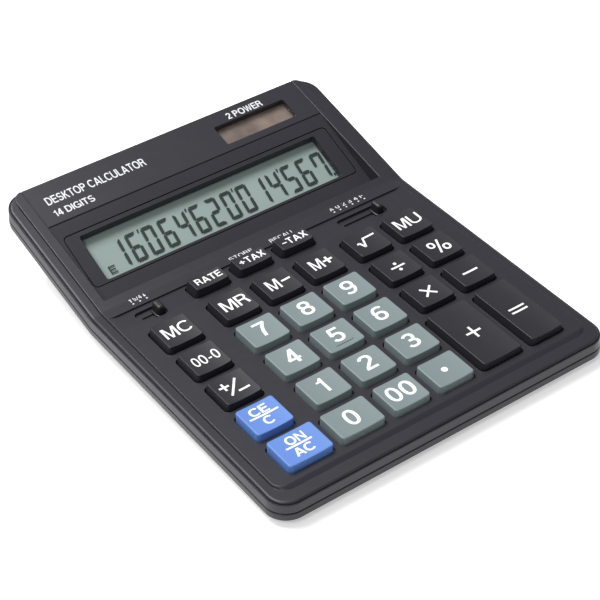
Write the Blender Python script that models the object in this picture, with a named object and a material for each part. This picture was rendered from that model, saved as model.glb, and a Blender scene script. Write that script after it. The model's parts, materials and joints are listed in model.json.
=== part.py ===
"""A 14-digit desktop calculator: two case shells, a sunk display, 31 rubber-backed keys and two slide switches.

World frame: metres, +X to the user's right, +Y away from the user, +Z up, origin under the middle at the table.
Sizes below are in millimetres. Most pieces are laid out in the deck frame, which lies on the key tops:
its x runs to the right, its y runs up the keyboard and its z stands square on the deck.
"""

import math

import bmesh
import bpy
from mathutils import Vector

MM = 0.001

# Tilts: the keyboard leans back a little, the display part is folded up from it, and its panel is sunk steeper.
DECK_TILT = math.radians(2.0)
FOLD_ANGLE = math.radians(13.6)
PANEL_ANGLE = math.radians(22.5)
FOLD_Y = 56.0

# Where the deck frame's origin stands over the table.
DECK_ORIGIN_Y = -26.94
DECK_ORIGIN_Z = 17.21

# Case outline at the parting line, seen square on the deck.
CASE_HALF_X = 76.3
CASE_FRONT = -70.6
CASE_BACK = 124.3
CASE_CORNER = 9.0

# Heights in the deck frame, where 0 is the top of an ordinary key.
DECK_Z = -2.9
DECK_UNDER_Z = -4.7
LEDGE_Z = -3.9
UPPER_RIM_Z = -8.3
LOWER_RIM_Z = -8.7
LOWER_FLOOR_Z = -12.2
LOWER_UNDER_Z = -13.9
SKIN = 1.8

# Raised deck.
DECK_HALF_X = 71.2
DECK_FRONT = -62.0
DECK_BACK = 123.0

# Sunk display pocket.
POCKET_HALF_X = 66.9
POCKET_FRONT = 60.2
POCKET_BACK = 101.7
POCKET_WALL = 1.7
PANEL_Y = 73.03
PANEL_Z = -4.15
LABEL_DROP = 0.3

# Display: sizes across and up the sunk panel, from the window's lower edge.
BEZEL = (-64.2, 64.2, -1.4, 24.4)
WINDOW = (-57.8, 57.5, 0.0, 22.2)
LCD = (-60.5, 60.5, -1.2, 25.2)
LCD_FRONT_Z = -3.9
LCD_BACK_Z = -6.7
HOLDER_WALL = 2.0
HOLDER_BACK_Z = -7.6

# Solar cell window, across and up the label strip from its front edge.
SOLAR_OPENING = (21.7, 57.3, 3.8, 14.7)

# Keys.
KEY_GAP = 0.4
KEY_STEM_GROWTH = 0.35
FLANGE_EXTRA = 0.7
FLANGE_TOP_Z = -5.0
FLANGE_BOTTOM_Z = -5.8
PLUNGER_Z = -6.3
PLUNGER_RADIUS = 2.4
HOLE_CORNER = 2.0
COLUMNS = {"c0": -55.2, "c1": -29.1, "c2": -8.65, "c3": 11.8, "c4": 34.8, "c5": 55.25}
ROWS = {"r0": 44.7, "r1": 26.6, "r2": 7.2, "r3": -12.2, "r4": -31.6, "r5": -51.0}
TALL_KEY_Y = -41.2
HOLE_X = 17.3
HOLE_Y = 16.1
WIDE_HOLE_X = 20.4
TALL_HOLE_Y = 35.3
SMALL_HOLE = (17.7, 9.4)

# Rubber key mat and circuit board.
MAT_TOP_Z = -8.8
MAT_BOTTOM_Z = -9.6
DOME_TOP_Z = -6.6
DOME_RADIUS = 4.1
DOME_TOP_RADIUS = 2.7
BOARD_TOP_Z = -9.9
BOARD_BOTTOM_Z = -11.1

# Slide switches: the knob's place at rest and its slot.
SLOT_FRONT = 40.3
SLOT_BACK = 47.7
SLOT_FLOOR_Z = -4.5
SLOT_Y = 44.0
SWITCHES = {
    "rounding": {"rest": -52.4, "slot": (-61.9, -49.7), "slit": (-59.7, -51.2)},
    "decimal": {"rest": 53.5, "slot": (34.7, 56.8), "slit": (36.9, 54.7)},
}

# Screws through the lower case: x and y in the deck frame.
CASE_SCREWS = [(-67.6, -52.0), (67.6, -52.0), (-42.1, -2.5), (-64.0, 112.0), (64.0, 112.0)]

# Rear block under the display, which holds the battery and stands on the rear feet.
BLOCK_HALF_X = 69.5
BLOCK_FRONT = 54.0
BLOCK_BACK = 116.0
BASE_CLEARANCE = 1.3
BLOCK_FLOOR = 3.0
FEET = [(-60.0, -82.5), (60.0, -82.5), (-49.0, 74.0), (49.0, 74.0)]
FOOT_RADIUS = 4.5
FOOT_HEIGHT = 1.0

# Battery door and cell, in world x and y.
DOOR = (18.0, 42.0, 52.0, 72.0)
DOOR_GAP = 0.3
CELL_X = 30.0
CELL_Y = 58.0
CELL_RADIUS = 5.8
CELL_BOTTOM = 3.8
CELL_TOP = 9.2


def clear_scene():
    for obj in list(bpy.data.objects):
        bpy.data.objects.remove(obj, do_unlink=True)


def material(name, colour, roughness, metallic=0.0, alpha=1.0):
    made = bpy.data.materials.new(name)
    made.use_nodes = True
    shader = made.node_tree.nodes["Principled BSDF"]
    shader.inputs["Base Color"].default_value = (*colour, 1.0)
    shader.inputs["Roughness"].default_value = roughness
    shader.inputs["Metallic"].default_value = metallic
    shader.inputs["Alpha"].default_value = alpha
    made.diffuse_color = (*colour, alpha)
    return made


def frame(name, parent, y, z, tilt):
    """An empty that other pieces are laid out in."""
    empty = bpy.data.objects.new(name, None)
    bpy.context.scene.collection.objects.link(empty)
    empty.location = (0.0, y * MM, z * MM)
    empty.rotation_euler = (tilt, 0.0, 0.0)
    empty.parent = parent
    return empty


def place(name, bm, skin, parent=None, origin=(0.0, 0.0, 0.0)):
    """Makes an object of a bmesh in millimetres, with its own origin at the given point of its parent's frame."""
    bmesh.ops.remove_doubles(bm, verts=bm.verts, dist=1e-5)
    bmesh.ops.recalc_face_normals(bm, faces=bm.faces)
    bmesh.ops.translate(bm, vec=-Vector(origin), verts=bm.verts)
    bmesh.ops.scale(bm, vec=(MM, MM, MM), verts=bm.verts)
    mesh = bpy.data.meshes.new(name)
    bm.to_mesh(mesh)
    bm.free()
    obj = bpy.data.objects.new(name, mesh)
    bpy.context.scene.collection.objects.link(obj)
    obj.parent = parent
    obj.location = Vector(origin) * MM
    if skin is not None:
        mesh.materials.append(skin)
    mesh.shade_smooth()
    mesh.set_sharp_from_angle(angle=math.radians(35.0))
    return obj


def helper(name, bm, parent=None):
    """A shape that only cuts or joins others."""
    obj = place(name, bm, None, parent)
    obj.hide_render = True
    obj.display_type = "WIRE"
    return obj


def combine(obj, tool, operation):
    modifier = obj.modifiers.new(tool.name, "BOOLEAN")
    modifier.operation = operation
    modifier.object = tool
    modifier.solver = "EXACT"


def rounded_rectangle(x0, x1, y0, y1, radius, segments):
    """Points of a rounded rectangle, anticlockwise from the front right corner."""
    centres = [
        (x1 - radius, y0 + radius, -90.0),
        (x1 - radius, y1 - radius, 0.0),
        (x0 + radius, y1 - radius, 90.0),
        (x0 + radius, y0 + radius, 180.0),
    ]
    points = []
    for cx, cy, start in centres:
        for step in range(segments + 1):
            angle = math.radians(start + 90.0 * step / segments)
            points.append((cx + radius * math.cos(angle), cy + radius * math.sin(angle)))
    return points


def circle(cx, cy, radius, sides):
    turn = 2.0 * math.pi / sides
    return [(cx + radius * math.cos(turn * (i + 0.5)), cy + radius * math.sin(turn * (i + 0.5))) for i in range(sides)]


def loft(bm, rings):
    """Adds one closed body through rings of equal length, each a list of (x, y, z), the lowest first."""
    loops = [[bm.verts.new(point) for point in ring] for ring in rings]
    bm.faces.new(list(reversed(loops[0])))
    for lower, upper in zip(loops, loops[1:]):
        for i in range(len(lower)):
            j = (i + 1) % len(lower)
            bm.faces.new((lower[i], lower[j], upper[j], upper[i]))
    bm.faces.new(loops[-1])


def at_height(outline, z):
    return [(x, y, z) for x, y in outline]


def stack(bm, levels, segments):
    """Adds a body through rounded rectangles, each (z, x0, x1, y0, y1, radius), the lowest first."""
    loft(bm, [at_height(rounded_rectangle(*level[1:], segments), level[0]) for level in levels])


def case_levels(levels):
    """Turns (z, offset) pairs into rounded rectangles that lie that far outside the case outline."""
    return [
        (z, -CASE_HALF_X - o, CASE_HALF_X + o, CASE_FRONT - o, CASE_BACK + o, CASE_CORNER + o) for z, o in levels
    ]


def fold_rise(y):
    return max(0.0, y - FOLD_Y) * math.tan(FOLD_ANGLE)


def fold(bm):
    """Bends a body laid out flat, so that everything behind the fold line climbs at the display's slope."""
    everything = bm.verts[:] + bm.edges[:] + bm.faces[:]
    bmesh.ops.bisect_plane(bm, geom=everything, dist=1e-4, plane_co=(0, FOLD_Y, 0), plane_no=(0, 1, 0))
    for vert in bm.verts:
        vert.co.z += fold_rise(vert.co.y)
    return bm


def prism(bm, outline, x0, x1):
    """Adds an outline of (y, z) points drawn out from x0 to x1."""
    loft(bm, [[(x0, y, z) for y, z in outline], [(x1, y, z) for y, z in outline]])


def cylinder(bm, x, y, z0, z1, radius, sides, top_radius=None):
    top = radius if top_radius is None else top_radius
    loft(bm, [at_height(circle(x, y, radius, sides), z0), at_height(circle(x, y, top, sides), z1)])


def box(bm, x0, x1, y0, y1, z0, z1):
    outline = [(x0, y0), (x1, y0), (x1, y1), (x0, y1)]
    loft(bm, [at_height(outline, z0), at_height(outline, z1)])


def panel_z(y):
    """Height of the sunk panel at y, in the deck frame."""
    return PANEL_Z + (y - PANEL_Y) * math.tan(PANEL_ANGLE)


def rail_z(y):
    """Height of the deck's top at y, in the deck frame."""
    return DECK_Z + fold_rise(y)


def table_z(y, height):
    """Height in the deck frame, at y, of a plane that is level with the table and this far above it."""
    return (height - DECK_ORIGIN_Z - y * math.sin(DECK_TILT)) / math.cos(DECK_TILT)


def key_list():
    """Every key: name, centre, hole size, top size, top height and finish."""
    keys = []

    def add(name, x, y, finish, hole=(HOLE_X, HOLE_Y), top=None, top_z=0.0):
        default = {"grey": (1.3, 1.5), "blue": (1.3, 1.1), "black": (2.3, 1.4)}[finish]
        size = top or (hole[0] - default[0], hole[1] - default[1])
        keys.append({"name": name, "x": x, "y": y, "hole": hole, "top": size, "top_z": top_z, "finish": finish})

    left_wide = COLUMNS["c0"] + (WIDE_HOLE_X - HOLE_X) / 2
    zero_x = COLUMNS["c1"] - (WIDE_HOLE_X - HOLE_X) / 2
    plus_x = COLUMNS["c4"] - (WIDE_HOLE_X - HOLE_X) / 2 + 0.3
    digits = {
        "key_7": ("c1", "r2"), "key_8": ("c2", "r2"), "key_9": ("c3", "r2"),
        "key_4": ("c1", "r3"), "key_5": ("c2", "r3"), "key_6": ("c3", "r3"),
        "key_1": ("c1", "r4"), "key_2": ("c2", "r4"), "key_3": ("c3", "r4"),
        "key_double_zero": ("c2", "r5"), "key_decimal_point": ("c3", "r5"),
    }
    functions = {
        "key_memory_clear": ("c0", "r1"), "key_memory_recall": ("c1", "r1"), "key_memory_minus": ("c2", "r1"),
        "key_memory_plus": ("c3", "r1"), "key_square_root": ("c4", "r1"), "key_mark_up": ("c5", "r1"),
        "key_backspace": ("c0", "r2"), "key_divide": ("c4", "r2"), "key_percent": ("c5", "r2"),
        "key_sign_change": ("c0", "r3"), "key_multiply": ("c4", "r3"), "key_minus": ("c5", "r3"),
    }
    for name, (column, row) in digits.items():
        add(name, COLUMNS[column], ROWS[row], "grey")
    add("key_0", zero_x, ROWS["r5"], "grey", (WIDE_HOLE_X, HOLE_Y))
    for name, (column, row) in functions.items():
        add(name, COLUMNS[column], ROWS[row], "black")
    add("key_clear_entry", COLUMNS["c0"], ROWS["r4"], "blue")
    add("key_on_all_clear", left_wide, ROWS["r5"], "blue", (WIDE_HOLE_X, HOLE_Y))
    add("key_plus", plus_x, TALL_KEY_Y, "black", (WIDE_HOLE_X, TALL_HOLE_Y))
    add("key_equals", COLUMNS["c5"], TALL_KEY_Y, "black", (HOLE_X, TALL_HOLE_Y))
    for name, column in (("key_tax_rate", "c1"), ("key_tax_plus", "c2"), ("key_tax_minus", "c3")):
        add(name, COLUMNS[column], ROWS["r0"], "black", SMALL_HOLE, (14.9, 7.9), 0.8)
    return keys


def centred(x, y, width, depth, radius):
    return (x - width / 2, x + width / 2, y - depth / 2, y + depth / 2, radius)


def make_upper_case(skin, deck, panel, label, keys):
    """The top shell: a thin rim with a ledge, the raised deck on it, and the sunk pocket for the display."""
    bm = bmesh.new()
    rim = [(UPPER_RIM_Z, 0.0), (-5.2, -0.25), (-4.5, -0.5), (-4.9, -0.8), (-4.3, -1.0), (LEDGE_Z, -1.5)]
    stack(bm, case_levels(rim), 6)
    case = place("upper_case", fold(bm), skin, deck)

    bm = bmesh.new()
    deck_levels = [
        (LEDGE_Z - 0.7, -DECK_HALF_X - 0.3, DECK_HALF_X + 0.3, DECK_FRONT - 2.1, DECK_BACK + 0.3, 6.1),
        (LEDGE_Z, -DECK_HALF_X - 0.2, DECK_HALF_X + 0.2, DECK_FRONT - 2.0, DECK_BACK + 0.2, 6.0),
        (DECK_Z, -DECK_HALF_X, DECK_HALF_X, DECK_FRONT, DECK_BACK, 4.0),
    ]
    stack(bm, deck_levels, 4)
    combine(case, helper("raised_deck_tool", fold(bm), deck), "UNION")

    bm = bmesh.new()
    inner_x = CASE_HALF_X - 2.1
    shelf_z = LEDGE_Z - SKIN
    cavity = [
        (UPPER_RIM_Z - 1.0, -inner_x, inner_x, CASE_FRONT + 2.1, CASE_BACK - 2.1, 7.0),
        (shelf_z, -inner_x, inner_x, CASE_FRONT + 2.1, CASE_BACK - 2.1, 7.0),
        (shelf_z, -69.6, 69.6, DECK_FRONT + 1.6, DECK_BACK - 1.6, 3.5),
        (DECK_UNDER_Z, -69.6, 69.6, DECK_FRONT + 1.6, DECK_BACK - 1.6, 3.5),
    ]
    stack(bm, cavity, 3)
    combine(case, helper("upper_cavity_tool", fold(bm), deck), "DIFFERENCE")

    # The walls that go down around the sunk display.
    bm = bmesh.new()
    floor_z = panel_z(POCKET_FRONT) - 1.54
    wall_y = POCKET_FRONT - POCKET_WALL + 0.1
    back_y = POCKET_BACK + 0.8
    under = 1.6
    corner_y = PANEL_Y + (floor_z + under - PANEL_Z) / math.tan(PANEL_ANGLE)
    outline = [
        (wall_y, rail_z(wall_y) - 0.5),
        (wall_y, floor_z),
        (corner_y, floor_z),
        (back_y, panel_z(back_y) - under),
        (back_y, rail_z(back_y) - 0.5),
    ]
    prism(bm, outline, -POCKET_HALF_X - POCKET_WALL, POCKET_HALF_X + POCKET_WALL)
    combine(case, helper("pocket_wall_tool", bm, deck), "UNION")

    # Bosses: floors of the two switch slots, and a post for each case screw.
    bm = bmesh.new()
    for switch in SWITCHES.values():
        x0, x1 = switch["slot"]
        box(bm, x0 - 1.5, x1 + 1.5, SLOT_FRONT - 1.3, SLOT_BACK + 1.3, SLOT_FLOOR_Z - 1.2, DECK_UNDER_Z + 0.5)
    for x, y in CASE_SCREWS:
        rise = fold_rise(y)
        cylinder(bm, x, y, LOWER_RIM_Z + rise, DECK_UNDER_Z + 0.5 + rise, 2.3, 10)
    combine(case, helper("boss_tool", bm, deck), "UNION")

    bm = bmesh.new()
    x0, x1, v0, v1 = SOLAR_OPENING
    box(bm, x0 - 3.0, x1 + 3.0, v0 - 2.0, v1 + 2.0, -2.2, -0.6)
    combine(case, helper("solar_pad_tool", bm, label), "UNION")

    # The pocket itself, and the label strip behind it, which lies a little below the rails.
    bm = bmesh.new()
    behind = CASE_BACK + 3.0
    outline = [
        (POCKET_FRONT, panel_z(POCKET_FRONT)),
        (POCKET_BACK, panel_z(POCKET_BACK)),
        (POCKET_BACK, rail_z(POCKET_BACK) - LABEL_DROP),
        (behind, rail_z(behind) - LABEL_DROP),
        (behind, rail_z(behind) + 4.0),
        (POCKET_FRONT, rail_z(POCKET_FRONT) + 4.0),
    ]
    prism(bm, outline, -POCKET_HALF_X, POCKET_HALF_X)
    combine(case, helper("pocket_tool", bm, deck), "DIFFERENCE")

    # The shallow band that the switches and the small keys stand in.
    bm = bmesh.new()
    band = [
        (DECK_Z - 0.6, -67.2, 67.2, 40.9, 50.4, 0.2),
        (DECK_Z, -70.7, 70.7, 39.9, 50.5, 0.2),
        (DECK_Z + 1.0, -70.7, 70.7, 39.9, 50.5, 0.2),
    ]
    stack(bm, band, 1)
    combine(case, helper("band_tool", bm, deck), "DIFFERENCE")

    bm = bmesh.new()
    for key in keys:
        hole = centred(key["x"], key["y"], *key["hole"], HOLE_CORNER)
        stack(bm, [(DECK_UNDER_Z - 0.5, *hole), (DECK_Z + 0.5, *hole)], 3)
    for switch in SWITCHES.values():
        slot = (*switch["slot"], SLOT_FRONT, SLOT_BACK, HOLE_CORNER)
        stack(bm, [(SLOT_FLOOR_Z, *slot), (DECK_Z + 0.5, *slot)], 3)
    combine(case, helper("key_hole_tool", bm, deck), "DIFFERENCE")

    bm = bmesh.new()
    for switch in SWITCHES.values():
        box(bm, *switch["slit"], SLOT_Y - 1.1, SLOT_Y + 1.1, SLOT_FLOOR_Z - 2.0, SLOT_FLOOR_Z + 0.5)
    for x, y in CASE_SCREWS:
        rise = fold_rise(y)
        cylinder(bm, x, y, LOWER_RIM_Z - 0.5 + rise, -5.5 + rise, 1.25, 8)
    combine(case, helper("slit_tool", bm, deck), "DIFFERENCE")

    bm = bmesh.new()
    x0, x1, v0, v1 = BEZEL
    opening = (x0 - 0.3, x1 + 0.3, v0 - 0.3, v1 + 0.3, 2.3)
    stack(bm, [(-5.0, *opening), (2.0, *opening)], 3)
    combine(case, helper("display_opening_tool", bm, panel), "DIFFERENCE")

    bm = bmesh.new()
    stack(bm, [(-4.0, *SOLAR_OPENING, 0.8), (2.0, *SOLAR_OPENING, 0.8)], 2)
    combine(case, helper("solar_opening_tool", bm, label), "DIFFERENCE")
    return case


def block_ring(inset, heights, radius):
    """Outline of the rear block, at a height that depends on y."""
    outline = rounded_rectangle(
        -BLOCK_HALF_X + inset, BLOCK_HALF_X - inset, BLOCK_FRONT + inset, BLOCK_BACK - inset, radius, 3
    )
    return [(x, y, heights(y)) for x, y in outline]


def make_lower_case(skin, deck):
    """The bottom shell: a shallow tray that follows the fold, with a block under the display."""
    bm = bmesh.new()
    tray = [
        (LOWER_UNDER_Z, -3.2), (-11.9, -0.5), (-11.3, 0.2), (-9.2, 0.1), (LOWER_RIM_Z, -0.2),
    ]
    stack(bm, case_levels(tray), 6)
    case = place("lower_case", fold(bm), skin, deck)

    bm = bmesh.new()
    level = lambda y: table_z(y, BASE_CLEARANCE)
    inside = lambda y: LOWER_UNDER_Z + 0.8 + fold_rise(y)
    shoulder = lambda y: max(level(y) + 2.0, level(y) * 0.7 + inside(y) * 0.3)
    loft(bm, [block_ring(8.5, level, 5.0), block_ring(5.0, shoulder, 6.0), block_ring(0.0, inside, 7.0)])
    combine(case, helper("rear_block_tool", bm, deck), "UNION")

    bm = bmesh.new()
    stack(bm, case_levels([(LOWER_FLOOR_Z, -4.6), (-11.2, -2.0), (-7.0, -2.0)]), 3)
    combine(case, helper("tray_cavity_tool", fold(bm), deck), "DIFFERENCE")

    bm = bmesh.new()
    floor = lambda y: table_z(y, BLOCK_FLOOR)
    knee = lambda y: shoulder(y) + 1.7
    above = lambda y: LOWER_FLOOR_Z + 1.0 + fold_rise(y)
    loft(bm, [block_ring(10.3, floor, 3.5), block_ring(6.8, knee, 4.5), block_ring(1.9, above, 5.0)])
    combine(case, helper("block_cavity_tool", bm, deck), "DIFFERENCE")

    # Posts that the case screws pass through.
    bm = bmesh.new()
    for x, y in CASE_SCREWS:
        rise = fold_rise(y)
        cylinder(bm, x, y, LOWER_FLOOR_Z - 0.6 + rise, LOWER_RIM_Z - 0.3 + rise, 3.4, 12)
    combine(case, helper("screw_post_tool", bm, deck), "UNION")

    bm = bmesh.new()
    for x, y in CASE_SCREWS:
        rise = fold_rise(y)
        cylinder(bm, x, y, LOWER_UNDER_Z - 2.0 + rise, -11.2 + rise, 2.5, 12)
    combine(case, helper("screw_head_tool", bm, deck), "DIFFERENCE")
    bm = bmesh.new()
    for x, y in CASE_SCREWS:
        rise = fold_rise(y)
        cylinder(bm, x, y, -11.6 + rise, LOWER_RIM_Z + 1.0 + rise, 1.3, 8)
    combine(case, helper("screw_shank_tool", bm, deck), "DIFFERENCE")

    # The arm inside the block that the battery door's screw bites into, then the door's opening.
    bm = bmesh.new()
    edge = DOOR[3] + DOOR_GAP
    arm = [
        (edge - 5.8, BLOCK_FLOOR + 0.3), (edge + 0.2, BLOCK_FLOOR + 0.3), (edge + 0.2, BLOCK_FLOOR - 1.0),
        (edge + 4.0, BLOCK_FLOOR - 1.0), (edge + 4.0, 8.0), (edge - 5.8, 8.0),
    ]
    prism(bm, arm, CELL_X - 3.0, CELL_X + 3.0)
    combine(case, helper("door_arm_tool", bm), "UNION")
    bm = bmesh.new()
    x0, x1, y0, y1 = DOOR
    stack(bm, [(z, x0 - DOOR_GAP, x1 + DOOR_GAP, y0 - DOOR_GAP, y1 + DOOR_GAP, 1.2) for z in (0.0, 3.25)], 2)
    cylinder(bm, CELL_X, y1 - 2.7, 3.27, 7.4, 1.1, 8)
    combine(case, helper("door_opening_tool", bm), "DIFFERENCE")
    return case


def make_display(materials, deck, panel, label):
    bm = bmesh.new()
    x0, x1, v0, v1 = BEZEL
    flange = (x0 - 1.6, x1 + 1.6, v0 - 1.5, v1 + 1.5, 3.0)
    levels = [
        (-3.6, *flange), (-1.9, *flange), (-1.9, x0, x1, v0, v1, 2.0), (-0.3, x0, x1, v0, v1, 2.0),
        (-0.1, x0 + 0.2, x1 - 0.2, v0 + 0.2, v1 - 0.2, 1.8),
    ]
    stack(bm, levels, 4)
    bezel = place("display_bezel", bm, materials["bezel"], panel)
    bm = bmesh.new()
    stack(bm, [(-4.5, *WINDOW, 0.8), (1.0, *WINDOW, 0.8)], 3)
    combine(bezel, helper("display_window_tool", bm, panel), "DIFFERENCE")

    bm = bmesh.new()
    x0, x1, v0, v1 = LCD
    box(bm, x0, x1, v0, v1, LCD_BACK_Z, LCD_FRONT_Z)
    place("lcd_panel", bm, materials["lcd"], panel)

    bm = bmesh.new()
    wall = HOLDER_WALL
    box(bm, x0 - wall, x1 + wall, v0 - wall, v1 + wall, HOLDER_BACK_Z, LCD_FRONT_Z)
    holder = place("lcd_holder", bm, materials["black"], panel)
    bm = bmesh.new()
    box(bm, x0 - 0.3, x1 + 0.3, v0 - 0.3, v1 + 0.3, HOLDER_BACK_Z - 1.0, LCD_FRONT_Z + 1.0)
    combine(holder, helper("lcd_seat_tool", bm, panel), "DIFFERENCE")

    # The film lead from the board's back edge, under the pocket and up to the back of the display glass.
    path = [(46.0, -11.55), (60.5, -11.55), (66.0, -12.75), (73.0, -13.35), (77.5, -12.8), (80.4, -11.0), (81.2, -8.75)]
    thick = 0.13
    bm = bmesh.new()
    upper = []
    lower = []
    for i, (y, z) in enumerate(path):
        before = Vector(path[max(i - 1, 0)])
        after = Vector(path[min(i + 1, len(path) - 1)])
        along = (after - before).normalized()
        upper.append((y - along.y * thick, z + along.x * thick))
        lower.append((y + along.y * thick, z - along.x * thick))
    prism(bm, lower + upper[::-1], -27.0, 18.0)
    place("lcd_film_lead", bm, materials["film"], deck)

    x0, x1, v0, v1 = SOLAR_OPENING
    bm = bmesh.new()
    box(bm, x0 - 1.6, x1 + 1.6, v0 - 1.3, v1 + 1.3, -3.2, -2.5)
    place("solar_window", bm, materials["clear"], label)
    bm = bmesh.new()
    box(bm, x0 - 1.0, x1 + 1.0, v0 - 0.8, v1 + 0.8, -4.7, -3.5)
    place("solar_cell", bm, materials["solar"], label)


def make_electronics(materials, deck, keys):
    bm = bmesh.new()
    box(bm, -69.0, 69.0, -63.0, 54.5, BOARD_BOTTOM_Z, BOARD_TOP_Z)
    board = place("main_board", bm, materials["board"], deck)
    bm = bmesh.new()
    for x, y in CASE_SCREWS[:3]:
        cylinder(bm, x, y, BOARD_BOTTOM_Z - 1.0, BOARD_TOP_Z + 1.0, 3.8, 12)
    combine(board, helper("board_hole_tool", bm, deck), "DIFFERENCE")

    # One moulded rubber mat: a sheet with a dome under each key, and a tab for the small keys.
    bm = bmesh.new()
    outline = [
        (-63.8, -61.5), (63.8, -61.5), (63.8, 37.0), (23.0, 37.0), (23.0, 51.5), (-40.5, 51.5), (-40.5, 37.0),
        (-63.8, 37.0),
    ]
    loft(bm, [at_height(outline, MAT_BOTTOM_Z), at_height(outline, MAT_TOP_Z)])
    mat = place("keypad_rubber_mat", bm, materials["rubber"], deck)
    bm = bmesh.new()
    for key in keys:
        cylinder(bm, key["x"], key["y"], MAT_TOP_Z - 0.4, DOME_TOP_Z, DOME_RADIUS, 8, DOME_TOP_RADIUS)
    combine(mat, helper("dome_tool", bm, deck), "UNION")
    bm = bmesh.new()
    x, y = CASE_SCREWS[2]
    cylinder(bm, x, y, MAT_BOTTOM_Z - 1.0, MAT_TOP_Z + 1.0, 3.9, 10)
    combine(mat, helper("mat_hole_tool", bm, deck), "DIFFERENCE")

    # The sealed chip: a low drop of black resin on the board.
    bm = bmesh.new()
    drop = [(0.0, 4.6), (0.7, 4.2), (1.2, 3.2), (1.45, 1.6)]
    loft(bm, [at_height(circle(28.0, 45.0, radius, 16), BOARD_TOP_Z + 0.3 + z) for z, radius in drop])
    place("chip_seal", bm, materials["black"], deck)

    # Button cell, its two contacts, and the door with its screw: these stand level with the table.
    bm = bmesh.new()
    rings = [
        (CELL_BOTTOM, CELL_RADIUS - 0.4), (CELL_BOTTOM + 0.3, CELL_RADIUS), (CELL_TOP - 0.7, CELL_RADIUS),
        (CELL_TOP - 0.5, CELL_RADIUS - 0.6), (CELL_TOP, CELL_RADIUS - 0.9),
    ]
    loft(bm, [at_height(circle(CELL_X, CELL_Y, radius, 24), z) for z, radius in rings])
    place("button_cell", bm, materials["metal"])
    bm = bmesh.new()
    box(bm, CELL_X - 2.5, CELL_X + 2.5, CELL_Y - 3.0, CELL_Y + 8.0, CELL_TOP + 0.3, CELL_TOP + 0.7)
    place("battery_contact_negative", bm, materials["metal"])
    bm = bmesh.new()
    wall_x = CELL_X + CELL_RADIUS + 0.3
    box(bm, wall_x, wall_x + 0.4, CELL_Y - 3.0, CELL_Y + 3.0, CELL_BOTTOM, CELL_TOP + 1.0)
    place("battery_contact_positive", bm, materials["metal"])

    x0, x1, y0, y1 = DOOR
    bm = bmesh.new()
    stack(bm, [(BASE_CLEARANCE, x0, x1, y0, y1, 1.0), (2.9, x0, x1, y0, y1, 1.0)], 2)
    door = place("battery_door", bm, materials["case"])
    bm = bmesh.new()
    cylinder(bm, CELL_X, y1 - 2.7, 0.5, 2.3, 2.1, 12)
    combine(door, helper("door_head_tool", bm), "DIFFERENCE")
    bm = bmesh.new()
    cylinder(bm, CELL_X, y1 - 2.7, 2.0, 4.0, 1.1, 8)
    combine(door, helper("door_shank_tool", bm), "DIFFERENCE")
    bm = bmesh.new()
    rings = [(1.4, 1.2), (1.6, 1.75), (2.0, 1.75), (2.0, 0.8), (6.8, 0.8), (7.1, 0.4)]
    loft(bm, [at_height(circle(CELL_X, y1 - 2.7, radius, 12), z) for z, radius in rings])
    place("battery_door_screw", bm, materials["metal"])


def make_fasteners_and_feet(materials, deck):
    rings = [(-12.75, 1.6), (-12.45, 2.1), (-11.5, 2.1), (-11.5, 0.95), (-6.2, 0.95), (-5.8, 0.5)]
    for number, (x, y) in enumerate(CASE_SCREWS, 1):
        rise = fold_rise(y)
        bm = bmesh.new()
        loft(bm, [at_height(circle(x, y, radius, 12), z + rise) for z, radius in rings])
        place(f"case_screw_{number}", bm, materials["metal"], deck, (x, y, rise))
    rings = [(0.0, FOOT_RADIUS - 0.3), (0.3, FOOT_RADIUS), (FOOT_HEIGHT, FOOT_RADIUS)]
    names = ("foot_front_left", "foot_front_right", "foot_rear_left", "foot_rear_right")
    for name, (x, y) in zip(names, FEET):
        bm = bmesh.new()
        loft(bm, [at_height(circle(x, y, radius, 20), z) for z, radius in rings])
        place(name, bm, materials["rubber"], None, (x, y, 0.0))


def make_key(key, skin, deck):
    """One key cap: dished top, skirt through the deck, a flange that keeps it in, and a plunger on the dome."""
    x, y = key["x"], key["y"]
    width, depth = key["top"]
    hole_x, hole_y = key["hole"]
    top_z = key["top_z"]
    skirt = centred(x, y, hole_x - 2 * KEY_GAP, hole_y - 2 * KEY_GAP, HOLE_CORNER)
    flange = centred(x, y, hole_x + 2 * FLANGE_EXTRA, hole_y + 2 * FLANGE_EXTRA, HOLE_CORNER)
    levels = [
        (FLANGE_BOTTOM_Z, *flange),
        (FLANGE_TOP_Z, *flange),
        (FLANGE_TOP_Z, *skirt),
        (DECK_Z - 0.3, *skirt),
        (top_z - 0.5, *centred(x, y, width, depth, 1.3)),
        (top_z, *centred(x, y, width - 0.8, depth - 0.8, 1.0)),
    ]
    bm = bmesh.new()
    stack(bm, levels, 2)
    cap = place(key["name"], bm, skin, deck, (x, y, top_z))
    bm = bmesh.new()
    cylinder(bm, x, y, PLUNGER_Z, FLANGE_BOTTOM_Z + 0.3, PLUNGER_RADIUS, 8)
    combine(cap, helper(key["name"] + "_plunger_tool", bm, deck), "UNION")


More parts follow.
